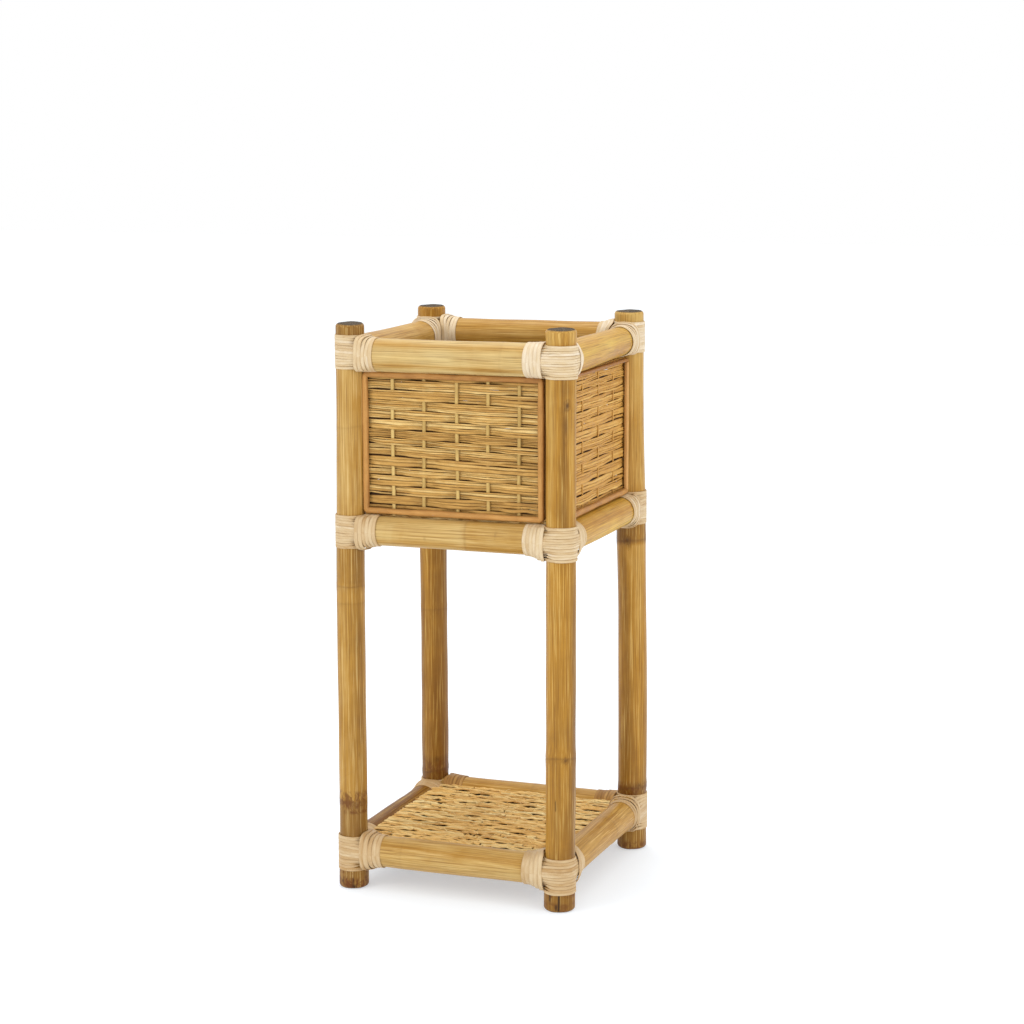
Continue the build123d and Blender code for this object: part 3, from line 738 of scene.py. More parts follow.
def strip_on_corner(post_r, rails, starts, origin, e1, e2, z, wav, proud, sharp=None):
    """Plan of one strip: out along one rail's face, round the upright, out along the other's."""
    pts, nrm, hgt = [], [], []

    def leg(j, ps):
        zr, rr = rails[j]
        h = z - zr
        flat = rr + 0.45
        lie = math.sqrt(max(flat * flat - h * h, 11.0 ** 2))
        if j == sharp:
            k = smooth(3.0, 16.0, ps)
        else:
            k = smooth(-1.0, 10.0 if lie > post_r else starts[j], ps)
        q = post_r + proud + (lie - post_r) * k
        q = np.maximum(q, np.sqrt(np.maximum(post_r ** 2 - ps ** 2, 0.0)) + proud)
        # the outermost strips are drawn in under the wraps
        draw = k * 0.10
        tilt = np.clip(h / (rr + 2.0), -0.95, 0.95) * k
        return q, z - h * draw, tilt

    ps = np.linspace(starts[0] + (4.0 if sharp == 0 else 5.0), 0.6, 14)
    q, hz, tilt = leg(0, ps)
    for p, qq, zz, tt in zip(ps, q, np.broadcast_to(hz, ps.shape), tilt):
        pts.append((p, -qq)); hgt.append(zz); nrm.append((0.0, -math.sqrt(1 - tt * tt), tt))
    for a in np.linspace(-90, -180, 30):
        t = math.radians(a)
        pts.append(((post_r + proud) * math.cos(t), (post_r + proud) * math.sin(t))); hgt.append(z)
        nrm.append((math.cos(t), math.sin(t), 0.0))
    ps = np.linspace(0.6, starts[1] + (4.0 if sharp == 1 else 5.0), 14)
    q, hz, tilt = leg(1, ps)
    for p, qq, zz, tt in zip(ps, q, np.broadcast_to(hz, ps.shape), tilt):
        pts.append((-qq, p)); hgt.append(zz); nrm.append((-math.sqrt(1 - tt * tt), 0.0, tt))
    pts, nrm, hgt = np.array(pts), np.array(nrm), np.array(hgt)
    P = origin[None] + pts[:, :1] * e1 + pts[:, 1:] * e2
    P[:, 2] = hgt + wav
    N = nrm[:, :1] * e1 + nrm[:, 1:2] * e2
    N[:, 2] = nrm[:, 2]
    return P, N


for level, sides in RAILS.items():
    for ci, corner in enumerate(CORNERS):
        rng = np.random.default_rng(300 + 10 * ["bottom", "middle", "top"].index(level) + ci)
        origin, e1, e2 = corner_frame(corner)
        origin = origin + LEAN_WAY * float(lean(corner, BAND_Z[level]))
        rails = [rail_here(level, side, end, 12.0) for side, end in joints_of(corner)]
        soup = Soup()
        count = BAND_STRIPS[level] - int(rng.integers(0, 2))
        z0, z1 = BAND_SPAN[level][corner]
        edges = np.linspace(z0, z1, count + 1) + np.concatenate([[0], rng.uniform(-0.4, 0.4, count - 1), [0]])
        starts = [wrap_at(level, side, end)[0] for side, end in joints_of(corner)]
        sharp = [side for side, end in joints_of(corner)].index("right") if corner == "front_right" else None
        crown = CROWN[corner]
        peel_shade = PEEL_SHADE_BY_LEVEL[level] + PEEL_DARKER_AT.get((level, corner), 0.0)
        for k in range(count):
            w = edges[k + 1] - edges[k]
            zc = (edges[k + 1] + edges[k]) / 2
            n = 58
            t = np.linspace(0, 1, n)
            wav = rng.uniform(-0.3, 0.3) * np.sin(math.pi * t) + rng.uniform(-0.14, 0.14) * np.sin(2 * math.pi * t + rng.uniform(0, 6))
            P, N = strip_on_corner(POST_R[corner], rails, starts, origin, e1, e2, zc, wav,
                                   0.3 + rng.uniform(-0.06, 0.08), sharp)
            ribbon(soup, P, N, w * (1.08 - 0.07 * crown), 1.2 + 0.2 * crown + rng.uniform(-0.06, 0.10), rng.uniform(0, 100),
                   shade=peel_shade + rng.uniform(-0.09, 0.09), dome=crown,
                   scale=1 + 0.03 * np.sin(2 * math.pi * t * rng.uniform(1, 2.5) + rng.uniform(0, 6)))
        # a layer under the strips, and the strips that pass behind the upright above and below the rails
        a = np.radians(np.linspace(-95, 185, 60))
        for zc, w, rad, th, sh in ((z1 - 1.5, 2.9, 0.15, 1.5, -0.1), (z0 + 1.5, 2.9, 0.15, 1.5, -0.1)):
            P = origin[None] + (POST_R[corner] + rad) * (np.cos(a)[:, None] * e1 + np.sin(a)[:, None] * e2)
            P[:, 2] = zc
            N = np.cos(a)[:, None] * e1 + np.sin(a)[:, None] * e2
            ribbon(soup, P, N, w, th, rng.uniform(0, 100), shade=peel_shade + sh)
        # a layer under the strips on the upright alone, darker than the strips: painted shade that shows in the gaps
        # between them
        a = np.radians(np.linspace(-100, -170, 30))
        P = origin[None] + (POST_R[corner] - 0.1) * (np.cos(a)[:, None] * e1 + np.sin(a)[:, None] * e2)
        P[:, 2] = (z0 + z1) / 2
        N = np.cos(a)[:, None] * e1 + np.sin(a)[:, None] * e2
        ribbon(soup, P, N, z1 - z0 - 1.5, 0.8, rng.uniform(0, 100), shade=-0.5, dome=0)
        ob = soup.object(f"band_{level}_{corner}_peel", MAT_PEEL)
        keep(ob, "rattan_peel", f"corner_band_{level}_{corner}")

# ------------------------------------------------- peel round the pole ends
# how far the wraps flare above and below the pole, next to the upright
FLARE = {"bottom": (4.2, 4.4), "middle": (0.9, 5.2), "top": (3.6, 1.2)}
FLARE_MORE = {("top", "front_right"): (0.8, 1.0)}
WRAP_STRIPS = {("top", "front_left"): (5,), ("top", "front_right"): (5,), ("middle", "front_left"): (6,),
               ("middle", "front_right"): (6,), ("bottom", "front_left"): (5,), ("bottom", "front_right"): (5,)}
for level, sides in RAILS.items():
    for ci, corner in enumerate(CORNERS):
        origin, e1, e2 = corner_frame(corner)
        soup, shaded_wrap_soup = Soup(), Soup()
        peel_shade = PEEL_SHADE_BY_LEVEL[level] + PEEL_DARKER_AT.get((level, corner), 0.0)
        post_r = POST_R[corner] + 1.6
        snug = {"rear_left": (0.12, 0.25), "rear_right": (0.12, 0.85), "front_left": (1.0, 0.45)}.get(corner, (1.0, 1.0)) if level == "bottom" else (1.0, 1.0)
        for ji, (side, end) in enumerate(joints_of(corner)):
            rng = np.random.default_rng(600 + 40 * ["bottom", "middle", "top"].index(level) + 4 * ci + ji)
            inward = (e1, e2)[ji]
            out = np.array([*outward(side), 0.0])
            start, stop = wrap_at(level, side, end)
            count = WRAP_STRIPS[level, corner][0] if side == "front" else max(3, int(round((stop - start) / 4.6)))
            stop += rng.uniform(-0.6, 0.4)
            edges = np.linspace(start, stop, count + 1)
            edges[1:-1] += rng.uniform(-0.4, 0.4, count - 1)
            crown = CROWN[corner] * 0.55 + 0.05
            # painted shade: at the foot, the wraps on the rear rail (small snug values) sit deep in shade and take the
            # browner peel
            brown = level == "bottom" and snug[ji] < 0.2
            post_shift = float(lean(corner, BAND_Z[level])) * float(inward @ LEAN_WAY)
            for k in range(count):
                w = edges[k + 1] - edges[k]
                p = (edges[k + 1] + edges[k]) / 2
                z, r = rail_here(level, side, end, p)
                phi = np.linspace(0, 2 * math.pi, 96, endpoint=False)
                cosf, sinf = np.cos(phi), np.sin(phi)
                near = 1 - float(smooth(start, stop - 3, p))       # 1 next to the upright, 0 at the thin end
                up, down = (f * snug[ji] for f in FLARE_MORE.get((level, corner), FLARE[level]))
                A = np.where(cosf > 0, r + 0.35 + 1.25 * near, r + 0.2 + 0.6 * near * snug[ji])
                B = np.where(sinf > 0, r + 0.25 + up * near ** 1.4, r + 0.25 + down * near ** 1.4)
                m = 2.0 + 0.9 * near
                rho = (np.abs(cosf / A) ** m + np.abs(sinf / B) ** m) ** (-1.0 / m)
                rho += 0.10 * np.sin(3 * phi + rng.uniform(0, 6)) + rng.uniform(-0.10, 0.10)
                if level in ("middle", "top"):                     # thin where the side panel bears on it
                    facing = sinf if level == "middle" else -sinf
                    press = smooth(0.80, 0.95, facing)
                    rho = rho * (1 - press) + np.minimum(rho, r + 0.30) * press
                v = rho * cosf
                # beside and behind the upright the strips crowd away from it
                need = np.sqrt(np.maximum(post_r ** 2 - np.minimum(v, post_r) ** 2, 0.0))
                need = np.maximum(need * smooth(post_r, post_r - 3, v), np.where(v < 0, -v + 1.2, 0)) + post_shift
                need = need + w * (0.5 + 0.72 * k)
                pp = p + np.maximum(0.0, need - p)
                slant = rng.uniform(-0.5, 0.5)
                pp = pp + slant * np.sin(phi + rng.uniform(-0.5, 0.5)) + 0.18 * np.sin(2 * phi + rng.uniform(0, 6))
                pp = np.convolve(np.concatenate([pp[-3:], pp, pp[:3]]), np.ones(7) / 7, mode="valid")
                drift = rail_drift(level, side, end * (POST_C - pp))
                P = origin[None] + pp[:, None] * inward + (v + drift)[:, None] * out
                P[:, 2] = z + rho * sinf
                T = np.roll(P, -1, 0) - np.roll(P, 1, 0)
                N = np.cross(T, inward)
                N *= np.sign((N * (cosf[:, None] * out + sinf[:, None] * np.array([0, 0, 1.0]))).sum(1))[:, None]
                squeeze = np.clip(1.0 - 0.02 * np.maximum(0.0, need - p), 0.90, 1.0)
                ribbon(shaded_wrap_soup if brown else soup, P, N, w * 1.10, 1.0 + rng.uniform(-0.1, 0.2), rng.uniform(0, 100), closed=True,
                       shade=(0.0 if brown else peel_shade) + rng.uniform(-0.08, 0.10), scale=squeeze * (1 + 0.03 * np.sin(2 * phi + rng.uniform(0, 6))), dome=crown)
        ob = soup.object(f"wraps_{level}_{corner}_peel", MAT_PEEL)
        keep(ob, "rattan_peel", f"rail_wraps_{level}_{corner}")
        if shaded_wrap_soup.v:
            ob = shaded_wrap_soup.object(f"wraps_{level}_{corner}_peel_dark", MAT_PEEL_SHADED)
            keep(ob, "rattan_peel")

# ------------------------------------------------------ woven sides of the box
MAT_V = 132.7
SWING = 2.0
ROWS_TOP = 645.0
FRONT_L = [5, 62, 118, 183, 238, 298, 360, 412, 450, 520, 583, 637, 700, 758, 820, 884]
FRONT_R = [8, 70, 135, 200, 262, 315, 378, 435, 482, 545, 603, 660, 718, 768, 826, 884]
FRONT_OVER = [  # 1 where the stake shows in front of the row
    (0, 1, 0, 1, 0), (1, 0, 1, 0, 1), (0, 0, 1, 1, 0), (0, 1, 0, 0, 1), (1, 0, 1, 0, 1),
    (0, 1, 0, 1, 0), (1, 0, 1, 0, 1), (0, 1, 0, 1, 0), (1, 0, 1, 0, 1), (0, 1, 0, 0, 0),
    (1, 0, 1, 0, 1), (0, 1, 0, 1, 0), (1, 0, 1, 0, 1), (0, 1, 0, 1, 0), (1, 0, 1, 0, 1)]
RIGHT_ROWS = [8, 36, 92, 130, 195, 260, 318, 380, 447, 513, 575, 640, 702, 765, 822, 884]


def rows_like(rng, count, top=644.0, foot=468.4):
    z = np.linspace(top, foot, count + 1)
    return z + np.concatenate([[0], rng.uniform(-0.7, 0.7, count - 1), [0]])


PANELS = {
    "front": dict(stakes=(-78.0, -37.5, 5.0, 44.5, 83.0),
                  left=[ROWS_TOP - y / 5 for y in FRONT_L], right=[ROWS_TOP - y / 5 for y in FRONT_R], over=FRONT_OVER,
                  gaps=[(7, -108, 9, 1.6), (12, -108, 10, 1.5), (4, -108, 12, 0.8), (13, 92, 11, 1.7), (13, -72, 12, 0.8), (1, -100, 10, 0.7)]),
    "right": dict(stakes=(-103.0, -48.0, 12.0, 71.0), left=[ROWS_TOP - y / 5 for y in RIGHT_ROWS],
                  right=[ROWS_TOP - (y + 2) / 5 for y in RIGHT_ROWS], over=None,
                  gaps=[(5, -66, 12, 0.8), (7, -58, 14, 0.8), (11, -10, 12, 1.1), (13, -70, 8, 1.2), (13, 62, 12, 1.3), (1, 30, 20, 0.7)]),
    "rear": dict(stakes=(-80.0, -40.0, 1.0, 40.0, 81.0), left=None, right=None, over=None, gaps=[(5, -100, 10, 1.2), (10, 95, 12, 1.0)]),
    "left": dict(stakes=(-79.0, -41.0, -2.0, 42.0, 80.0), left=None, right=None, over=None, gaps=[(3, 98, 10, 1.1), (9, -100, 12, 1.0)]),
}


def woven(soup, stakes, tops_l, tops_r, over, gaps, half, place, rng, strands=(3, 5), swing=SWING, thick=1.35,
          breaks=0.0, rough=0.25, samples=150, lift=0.0, dome=0.35, dark=None, dark_w=3.6, dark_at=None, vary=0.2, bulge=0.012,
          seam=0.0, crinkle=1.0):
    """Rows of split cane between boundaries, over and under the stakes. place(u, z, w) gives points."""
    u = np.linspace(-half, half, samples)
    t = (u + half) / (2 * half)
    knots_u = [-half - 20] + list(stakes) + [half + 20]
    for r in range(len(tops_l) - 1):
        row = over[r] if over is not None else [(r + i) % 2 for i in range(len(stakes))]
        val = [-1.0 if v else 1.0 for v in row]
        val = [-val[0]] + val + [-val[-1]]
        wave = np.zeros_like(u)
        for a in range(len(knots_u) - 1):
            k = (u >= knots_u[a]) & (u <= knots_u[a + 1])
            x = (u[k] - knots_u[a]) / (knots_u[a + 1] - knots_u[a])
            wave[k] = val[a] + (val[a + 1] - val[a]) * (0.5 - 0.5 * np.cos(math.pi * smooth(0.06, 0.94, x)))
        top = tops_l[r] + (tops_r[r] - tops_l[r]) * t
        foot = tops_l[r + 1] + (tops_r[r + 1] - tops_l[r + 1]) * t
        size = top - foot
        grow = bulge * size * wave - seam
        top = top + grow
        foot = foot - grow
        for (gr, gu, gl, amount) in gaps:
            if gr == r:
                foot = foot + amount * np.exp(-((u - gu) / gl) ** 2)
            if gr + 1 == r:
                top = top - 0.35 * amount * np.exp(-((u - gu) / gl) ** 2)
        if dark is not None and (r or dark_at is not None):
            # painted shade: dark strips laid under the joints between two rows, so the joints read as shadow
            zb = tops_l[r] + (tops_r[r] - tops_l[r]) * t
            if dark_at is None:
                P, N = place(u, zb, lift - 0.35 - swing * np.abs(wave))
            else:
                P, N = place(u, zb - dark_w / 2, dark_at + 0 * u)
            ribbon(dark, P, N, dark_w, 0.4, rng.uniform(0, 400), dome=0)
        count = int(rng.integers(strands[0], strands[1] + 1))
        share = rng.uniform(0.6, 1.4, count)
        share = np.concatenate([[0], np.cumsum(share) / share.sum()])
        for k in range(count):
            lo, hi = share[k], share[k + 1]
            slant = rng.uniform(-0.30, 0.30) * (hi - lo)
            mid = (lo + hi) / 2 + slant * (t - 0.5) * 2 * rng.choice([-1, 1])
            z = top + (foot - top) * mid
            z = z + crinkle * (0.14 * np.sin(u / rng.uniform(9, 24) + rng.uniform(0, 6)) + 0.10 * np.sin(u / rng.uniform(4, 8) + rng.uniform(0, 6)))
            if crinkle > 1:
                z = z + 0.17 * np.sin(u / rng.uniform(1.4, 2.6) + rng.uniform(0, 6) + 2.0 * np.sin(u / rng.uniform(9, 16)))
            width = (top - foot) * (hi - lo)
            swell = 1.0 + 0.10 * np.sin(u / rng.uniform(12, 30) + rng.uniform(0, 6))
            w = swing * wave + rough * np.sin(u / rng.uniform(10, 26) + rng.uniform(0, 6)) + rng.uniform(-0.18, 0.18)
            if crinkle > 1:
                w = w + 0.32 * np.sin(u / rng.uniform(2.0, 4.0) + rng.uniform(0, 6) + 2.0 * np.sin(u / rng.uniform(8, 15)))
            w = w + lift
            base_w = float(np.mean(width)) * rng.uniform(1.0, 1.08)
            scale = np.clip(width / np.mean(width) * swell, 0.8, 1.6)
            pieces = [(0, samples)]
            if breaks and rng.random() < breaks:
                cuts = np.sort(rng.integers(samples // 10, samples * 9 // 10, int(rng.integers(1, 4)) if crinkle > 1 else 1))
                pieces, at0 = [], 0
                for cutp in cuts:
                    pieces.append((at0, int(cutp)))
                    at0 = int(cutp) + int(rng.integers(0, 2))
                pieces.append((at0, samples))
            for (s0, s1) in pieces:
                if s1 - s0 < 6:
                    continue
                sl = slice(s0, s1)
                ww = w[sl].copy()
                n = s1 - s0
                if s0 > 0:
                    ww += 0.9 * rng.random() * np.exp(-np.arange(n) / 3.0)
                if s1 < samples:
                    ww += 0.9 * rng.random() * np.exp(-(n - 1 - np.arange(n)) / 3.0)
                P, N = place(u[sl], z[sl], ww)
                ribbon(soup, P, N, base_w, thick * rng.uniform(0.85, 1.15), rng.uniform(0, 400), scale=scale[sl],
                       shade=rng.uniform(-vary, vary), dome=dome)


def half_round(w, t, n=9):
    a = np.linspace(0, math.pi, n)
    pts = [(-math.cos(x) * w / 2, 0.35 * t + math.sin(x) ** 0.8 * 0.65 * t) for x in a]
    return np.array(pts + [(w / 2, 0.0), (-w / 2, 0.0)])


TRIM_HALF, TRIM_Z0, TRIM_Z1 = 115.4, 470.0, 642.0


def trim_loop(name, side, at, facing, seed):
    """One strip of half-round cane bent round the panel."""
    rng = np.random.default_rng(seed)
    u = np.array([*along(side), 0.0])
    n = np.array([*outward(side), 0.0])
    w = 7.2
    ha, za, zb = TRIM_HALF - w / 2, TRIM_Z0 + w / 2, TRIM_Z1 - w / 2
    rad = 2.6
    pts = []
    def arc(cx, cz, a0, a1):
        for a in np.linspace(a0, a1, 9)[1:-1]:
            a = math.radians(a)
            pts.append((cx + rad * math.cos(a), cz + rad * math.sin(a)))
    def line(x0, z0, x1, z1, k=60):
        for t in np.linspace(0, 1, k):
            pts.append((x0 + (x1 - x0) * t, z0 + (z1 - z0) * t))
    line(-ha + rad, za, ha - rad, za)
    arc(ha - rad, za + rad, -90, 0)
    line(ha, za + rad, ha, zb - rad, 45)
    arc(ha - rad, zb - rad, 0, 90)
    line(ha - rad, zb, -ha + rad, zb)
    arc(-ha + rad, zb - rad, 90, 180)
    line(-ha, zb - rad, -ha, za + rad, 45)
    arc(-ha + rad, za + rad, 180, 270)
    pts = np.array(pts)
    k = len(pts)
    s = np.arange(k) / k * 2 * math.pi
    wob = sum(0.12 * np.sin(m * s + rng.uniform(0, 6)) for m in (3, 5, 9, 14))
    P = pts[:, :1] * u + (at + 0 * pts[:, 1:]) * n
    P[:, 2] += pts[:, 1] + wob * 0.8
    N = np.repeat((n * facing)[None], k, 0)
    prof = half_round(w, 4.3)
    scale = 1 + 0.035 * sum(np.sin(m * s + rng.uniform(0, 6)) for m in (4, 7, 12))
    high = smooth(zb - 3, zb, pts[:, 1])
    if side == "right":                           # the upper run is slimmer and sits up under the pole
        scale = scale * (1 - 0.34 * high)
        P[:, 2] += 1.3 * high
    G, uu = sweep(P, N, prof, scale, closed=True)
    fib = np.zeros(G.shape)
    fib[..., 0] = uu[:, None]
    fib[..., 1] = prof[:, 0][None]
    fib[..., 2] = rng.uniform(0, 100)
    soup = Soup()
    # painted shade: the trim darkens towards its edges
    edge = (np.abs(prof[:, 0]) / (w / 2)) ** 4
    # painted shade: the upper run is darker, for the shadow of the pole above it, most of all on the right panel; there
    # the rear upright is also made lighter
    soup.grid(G, loop=True, caps=False, fibre=fib, edge=np.broadcast_to(edge[None], G.shape[:2]),
              shade=(0.10 * np.sin(2 * s + rng.uniform(0, 6)) - (0.75 if side == "right" else 0.32) * high
                     + (0.70 * smooth(ha - 3, ha, pts[:, 0]) * (1 - high) if side == "right" else 0.0))[:, None]
              + 0 * edge[None])
    ob = soup.object(name, MAT_TRIM)
    keep(ob, "cane_trim", f"panel_trim_{'outer' if facing > 0 else 'inner'}_{side}")


def stake_profile(w, t, n=12):
    a = np.linspace(0, 2 * math.pi, n, endpoint=False)
    return np.stack([w / 2 * np.sign(np.cos(a)) * np.abs(np.cos(a)) ** 0.7, t / 2 * np.sign(np.sin(a)) * np.abs(np.sin(a)) ** 0.8], -1)


def stake(soup, P, N, w, t, seed, shade=0.0):
    prof = stake_profile(w, t)
    G, uu = sweep(P, N, prof)
    fib = np.zeros(G.shape)
    fib[..., 0] = uu[:, None]
    fib[..., 1] = prof[:, 0][None]
    fib[..., 2] = seed
    # painted shade: the stake darkens towards its sides
    edge = (np.abs(prof[:, 0]) / (w / 2)) ** 4
    soup.grid(G, fibre=fib, edge=np.broadcast_to(edge[None], G.shape[:2]), shade=shade)


stakes_soup, flat_stakes_soup = Soup(), Soup()
for si, side in enumerate(SIDES):
    rng = np.random.default_rng(900 + si)
    spec = PANELS[side]
    u3 = np.array([*along(side), 0.0])
    n3 = np.array([*outward(side), 0.0])
    left = spec["left"] if spec["left"] is not None else rows_like(rng, 15)
    right = spec["right"] if spec["right"] is not None else rows_like(rng, 15)

    def place(uu, zz, ww, u3=u3, n3=n3):
        P = uu[:, None] * u3 + (MAT_V + ww)[:, None] * n3
        P[:, 2] = zz
        return P, np.repeat(n3[None], len(uu), 0)

    soup, under = Soup(), Soup()
    woven(soup, spec["stakes"], list(left), list(right), spec["over"], spec["gaps"], 113.6, place, rng, strands=(3, 5),
          swing=0.95 if side == "right" else 2.0, thick=1.2, lift=-0.6, dark=under, seam=0.28,
          dark_w=4.4, vary=0.14 if side == "right" else 0.28)
    ob = soup.object(f"weaving_{side}", MAT_WEAVE_RIGHT_LIT if side == "right" else MAT_WEAVE)
    keep(ob, "woven_cane", f"panel_weavers_{side}")
    # painted shade: the dark strips under this panel's row joints
    ob = under.object(f"weaving_{side}_painted_shade_strips", MAT_PAINTED_SHADE)
    keep(ob, "woven_cane")
    for x in spec["stakes"]:
        zz = np.linspace(468.2, 641.6, 60)
        xx = x + 0.5 * np.sin(zz / 40 + rng.uniform(0, 6)) + rng.uniform(-0.3, 0.3)
        P = xx[:, None] * u3 + MAT_V * n3 + 0 * zz[:, None]
        P[:, 2] = zz
        if side == "right":
            stake(flat_stakes_soup, P, np.repeat(n3[None], 60, 0), 3.6, 1.5, rng.uniform(0, 100), rng.uniform(-0.1, 0.1))
            continue
        P = P + 0.35 * n3
        stake(stakes_soup, P, np.repeat(n3[None], 60, 0), 4.6, 3.0, rng.uniform(0, 100), rng.uniform(-0.15, 0.2))
    trim_loop(f"trim_outer_{side}_cane", side, MAT_V + 3.15, 1, 70 + si)
    trim_loop(f"trim_inner_{side}_cane", side, MAT_V - 3.15, -1, 80 + si)
ob = stakes_soup.object("panel_stakes_cane", MAT_STAKE)
keep(ob, "woven_cane", "panel_stakes")
ob = flat_stakes_soup.object("panel_stakes_flat_cane", MAT_WEAVE_RIGHT_LIT)
keep(ob, "woven_cane")

# -------------------------------------------------------------------- decks
deck_stakes_soup = Soup()
DECK_STAKES = (-108.0, -81.0, -54.0, -27.0, 0.0, 27.0, 54.0, 81.0, 108.0)
for di, (name, deck_z, reach) in enumerate((("shelf", 61.0, 125.0), ("planter_floor", 460.0, 124.0))):
    rng = np.random.default_rng(1200 + di)

    def place(uu, yy, ww, deck_z=deck_z):
        P = np.stack([uu, yy, deck_z + ww], -1)
        return P, np.repeat(np.array([[0.0, 0.0, 1.0]]), len(uu), 0)

    count = 23
    edge_y = np.linspace(122.0, -122.0, count + 1)
    left = edge_y + np.concatenate([[0], rng.uniform(-1.2, 1.2, count - 1), [0]])
    right = edge_y + np.concatenate([[0], rng.uniform(-1.2, 1.2, count - 1), [0]])
    gaps = [(int(rng.integers(0, count)), rng.uniform(-112, 112), rng.uniform(2.2, 6.0), rng.uniform(0.7, 2.2)) for _ in range(220)]
    soup, under = Soup(), Soup()
    woven(soup, DECK_STAKES, list(left), list(right), None, gaps, reach, place, rng, strands=(2, 4), swing=0.7, thick=1.5,
          breaks=0.95, rough=0.6, samples=260, lift=1.0 if name == "shelf" else 0.4, dome=0.6, dark=under, dark_w=12.0, dark_at=-2.7, vary=0.30, bulge=0.0,
          crinkle=2.0)
    # painted shade: the dark strips under the deck's gaps
    ob = under.object(f"{name}_painted_shade_strips", MAT_PAINTED_SHADE)
    keep(ob, "woven_cane")
    if name == "shelf":
        # loose fibres standing up out of the weaving
        for k in range(170):
            x0, y0 = rng.uniform(-112, 112), rng.uniform(-118, 112)
            a = rng.uniform(-0.5, 0.5) + (math.pi if rng.random() < 0.5 else 0)
            length = rng.uniform(4, 13)
            t = np.linspace(0, 1, 9)
            curl = rng.uniform(-0.8, 0.8)
            xs = x0 + length * (t * math.cos(a) - curl * t * t * math.sin(a) * 0.5)
            ys = y0 + length * (t * math.sin(a) + curl * t * t * math.cos(a) * 0.5)
            zs = deck_z + 3.4 + rng.uniform(0.6, 3.2) * np.sin(t * rng.uniform(1.2, 2.6))
            ribbon(soup, np.stack([xs, ys, zs], -1), np.repeat(np.array([[0.0, 0.0, 1.0]]), 9, 0), rng.uniform(0.5, 1.3), 0.5,
                   rng.uniform(0, 400), shade=rng.uniform(0.1, 0.6), scale=np.linspace(1, 0.35, 9))
    ob = soup.object(f"{name}_weaving", MAT_SHELF)
    keep(ob, "woven_cane", f"{name}_weavers")
    for x in DECK_STAKES:
        yy = np.linspace(-118, 118, 60) * (0.9 if abs(x) > 100 else 1.0)
        xx = x + 0.5 * np.sin(yy / 40 + rng.uniform(0, 6))
        P = np.stack([xx, yy, np.full(60, deck_z)], -1)
        # painted shade: the deck stakes are darkened, lying down in the dips between rows
        stake(deck_stakes_soup, P, np.repeat(np.array([[0.0, 0.0, 1.0]]), 60, 0), 3.4, 1.6, rng.uniform(0, 100), -0.3)
    soup = Soup()
    for x in (-76.0, -25.5, 25.5, 76.0):
        yy = np.linspace(-118, 118, 40)
        P = np.stack([x + 0.3 * np.sin(yy / 60 + x), yy, np.full(40, deck_z - 7.6)], -1)
        hw, ht, rr = 12.0, 4.0, 1.4
        prof = []
        for cx, cy, a0 in ((hw - rr, ht - rr, 0), (-hw + rr, ht - rr, 90), (-hw + rr, -ht + rr, 180), (hw - rr, -ht + rr, 270)):
            for a in np.linspace(a0, a0 + 90, 5):
                prof.append((cx + rr * math.cos(math.radians(a)), cy + rr * math.sin(math.radians(a))))
        G, uu = sweep(P, np.repeat(np.array([[0.0, 0.0, 1.0]]), 40, 0), np.array(prof))
        soup.grid(G)
    ob = soup.object(f"{name}_boards", MAT_BOARD)
    keep(ob, "slat_wood", f"{name}_slats")
ob = deck_stakes_soup.object("deck_stakes_cane", MAT_STAKE)
keep(ob, "woven_cane", "deck_stakes")

soup = Soup()
for level in RAILS:
    for corner in CORNERS:
        origin, e1, e2 = corner_frame(corner)
        origin = origin + LEAN_WAY * float(lean(corner, BAND_Z[level]))
        for inward, (side, end) in zip((e1, e2), joints_of(corner)):
            dz = -5.0 if side in ("front", "rear") else 5.0
            other = np.cross(inward, (0, 0, 1.0))
            seat = POST_R[corner] - 3.8
            prof = np.array([(math.cos(a), math.sin(a)) for a in np.linspace(0, 2 * math.pi, 20, endpoint=False)])
            ps = np.array([-seat - 2.8, -seat - 2.75, -seat - 2.3, -seat, -seat + 0.05, 30.0, 47.0, 50.0])
            rad = np.array([0.6, 2.8, 3.7, 3.9, 1.9, 1.9, 1.7, 0.3])
            P = origin[None, None] + ps[:, None, None] * inward + rad[:, None, None] * (prof[None, :, :1] * other + prof[None, :, 1:] * np.array([0, 0, 1.0]))
            P[..., 2] += BAND_Z[level] + dz
            soup.grid(P)
ob = soup.object("joint_screws_steel", MAT_STEEL)
keep(ob, "steel", "joint_screws")

for node in ("trim_brads",):
    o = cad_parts[node]
    o.data.materials.clear()
    o.data.materials.append(MAT_STEEL)

# ------------------------------------------------------------- floor, lights
floor_mat = Nodes("floor")
co = floor_mat.new("ShaderNodeTexCoord").outputs["Object"]
fn = floor_mat.noise(floor_mat.scaled(co, (1, 1, 1)), 3.0, 2.0, 0.5)
floor_mat.link(floor_mat.ramp(fn, [(0.0, (0.630, 0.660, 0.690)), (1.0, (0.642, 0.672, 0.702))]), floor_mat.bsdf.inputs["Base Color"])
floor_mat.bsdf.inputs["Emission Color"].default_value = (0.98, 1.03, 1.095, 1.0)      # painted light: the floor glows a little, so the shadow under the stand stays pale; glow and colour lean blue against the warm light the stand throws into that shadow
floor_mat.bsdf.inputs["Emission Strength"].default_value = 0.415
floor_mat.link(floor_mat.map(fn, 0.3, 0.7, 0.85, 0.95), floor_mat.bsdf.inputs["Roughness"])
floor_mat.bsdf.inputs["Specular IOR Level"].default_value = 0.1
me = bpy.data.meshes.new("floor")
k = 24
side = np.linspace(-14, 14, k)
X, Y = np.meshgrid(side, side)
verts = [(float(x), float(y), 0.0) for x, y in zip(X.ravel(), Y.ravel())]
faces = [(j * k + i, j * k + i + 1, (j + 1) * k + i + 1, (j + 1) * k + i) for j in range(k - 1) for i in range(k - 1)]
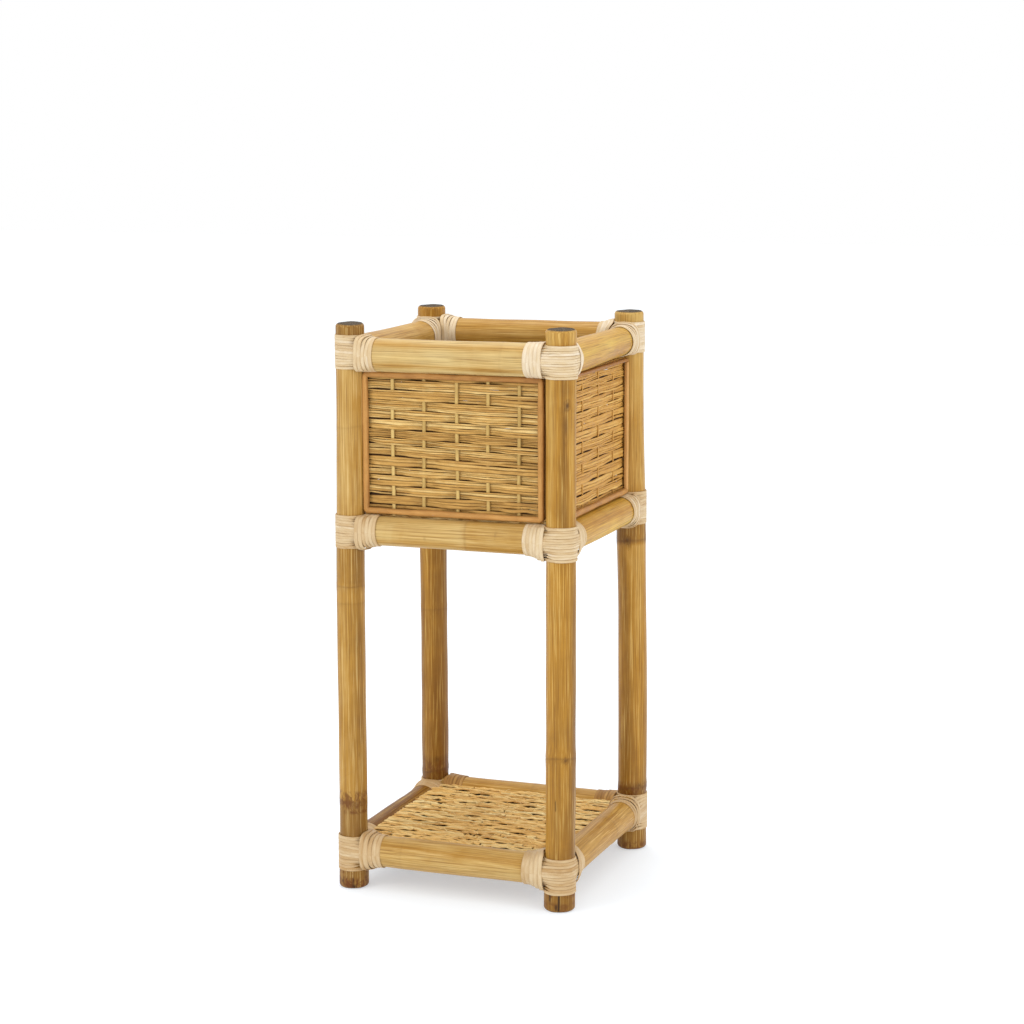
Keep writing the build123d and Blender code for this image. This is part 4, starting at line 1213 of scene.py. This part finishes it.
me.from_pydata(verts, [], faces)
me.materials.append(floor_mat.mat)
floor = bpy.data.objects.new("floor", me)
bpy.context.scene.collection.objects.link(floor)
floor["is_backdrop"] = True

world = bpy.data.worlds.new("studio")
bpy.context.scene.world = world
world.use_nodes = True
world.node_tree.nodes["Background"].inputs[0].default_value = (1.0, 1.0, 1.0, 1.0)
world.node_tree.nodes["Background"].inputs[1].default_value = 1.0


def area(name, place, target, size, power, colour=(1, 1, 1)):
    data = bpy.data.lights.new(name, "AREA")
    data.shape = "DISK"
    data.size = size
    data.energy = power
    data.color = colour
    ob = bpy.data.objects.new(name, data)
    ob.location = place
    ob.rotation_euler = (Vector(target) - Vector(place)).to_track_quat("-Z", "Y").to_euler()
    bpy.context.scene.collection.objects.link(ob)
    return ob


area("overhead", (-0.40, 0.50, 2.8), (0, 0, 0.3), 1.0, 17.5, (1.0, 0.99, 0.97))
area("key_left", (-1.8, -2.6, 1.8), (0, 0, 0.35), 1.4, 20.2, (1.0, 0.98, 0.95))
area("fill_right", (2.8, -1.0, 1.5), (0, 0, 0.4), 1.6, 17, (1.0, 0.97, 0.90))

# ------------------------------------------------------------------- camera
F_PX = 2455.0
YAW, PITCH, ROLL = math.radians(20.336), math.radians(9.377), math.radians(-0.15)
right0 = Vector((math.cos(YAW), math.sin(YAW), 0))
fwd = Vector((-math.sin(YAW) * math.cos(PITCH), math.cos(YAW) * math.cos(PITCH), -math.sin(PITCH)))
up0 = right0.cross(fwd)
rightv = right0 * math.cos(ROLL) + up0 * math.sin(ROLL)
upv = up0 * math.cos(ROLL) - right0 * math.sin(ROLL)
spot = (Vector((0, 0, 455.75)) + right0 * 23.10 - fwd * 3056.09) * MM
cam_data = bpy.data.cameras.new("camera")
cam_data.sensor_width = 36.0
cam_data.sensor_fit = "HORIZONTAL"
cam_data.lens = F_PX / 1024 * 36.0
cam_data.clip_start = 0.05
cam_data.clip_end = 60
camera = bpy.data.objects.new("camera", cam_data)
camera.matrix_world = Matrix((
    (rightv.x, upv.x, -fwd.x, spot.x), (rightv.y, upv.y, -fwd.y, spot.y),
    (rightv.z, upv.z, -fwd.z, spot.z), (0, 0, 0, 1)))
bpy.context.scene.collection.objects.link(camera)
bpy.context.scene.camera = camera
bpy.context.scene.view_settings.view_transform = "Standard"
bpy.context.scene.view_settings.look = "None"

size_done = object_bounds()


def plain(value):
    if isinstance(value, dict):
        return {str(k): plain(v) for k, v in value.items()}
    try:
        return [plain(v) for v in value]
    except TypeError:
        return float(value)


{"loaded": plain(size_loaded), "done": plain(size_done)}
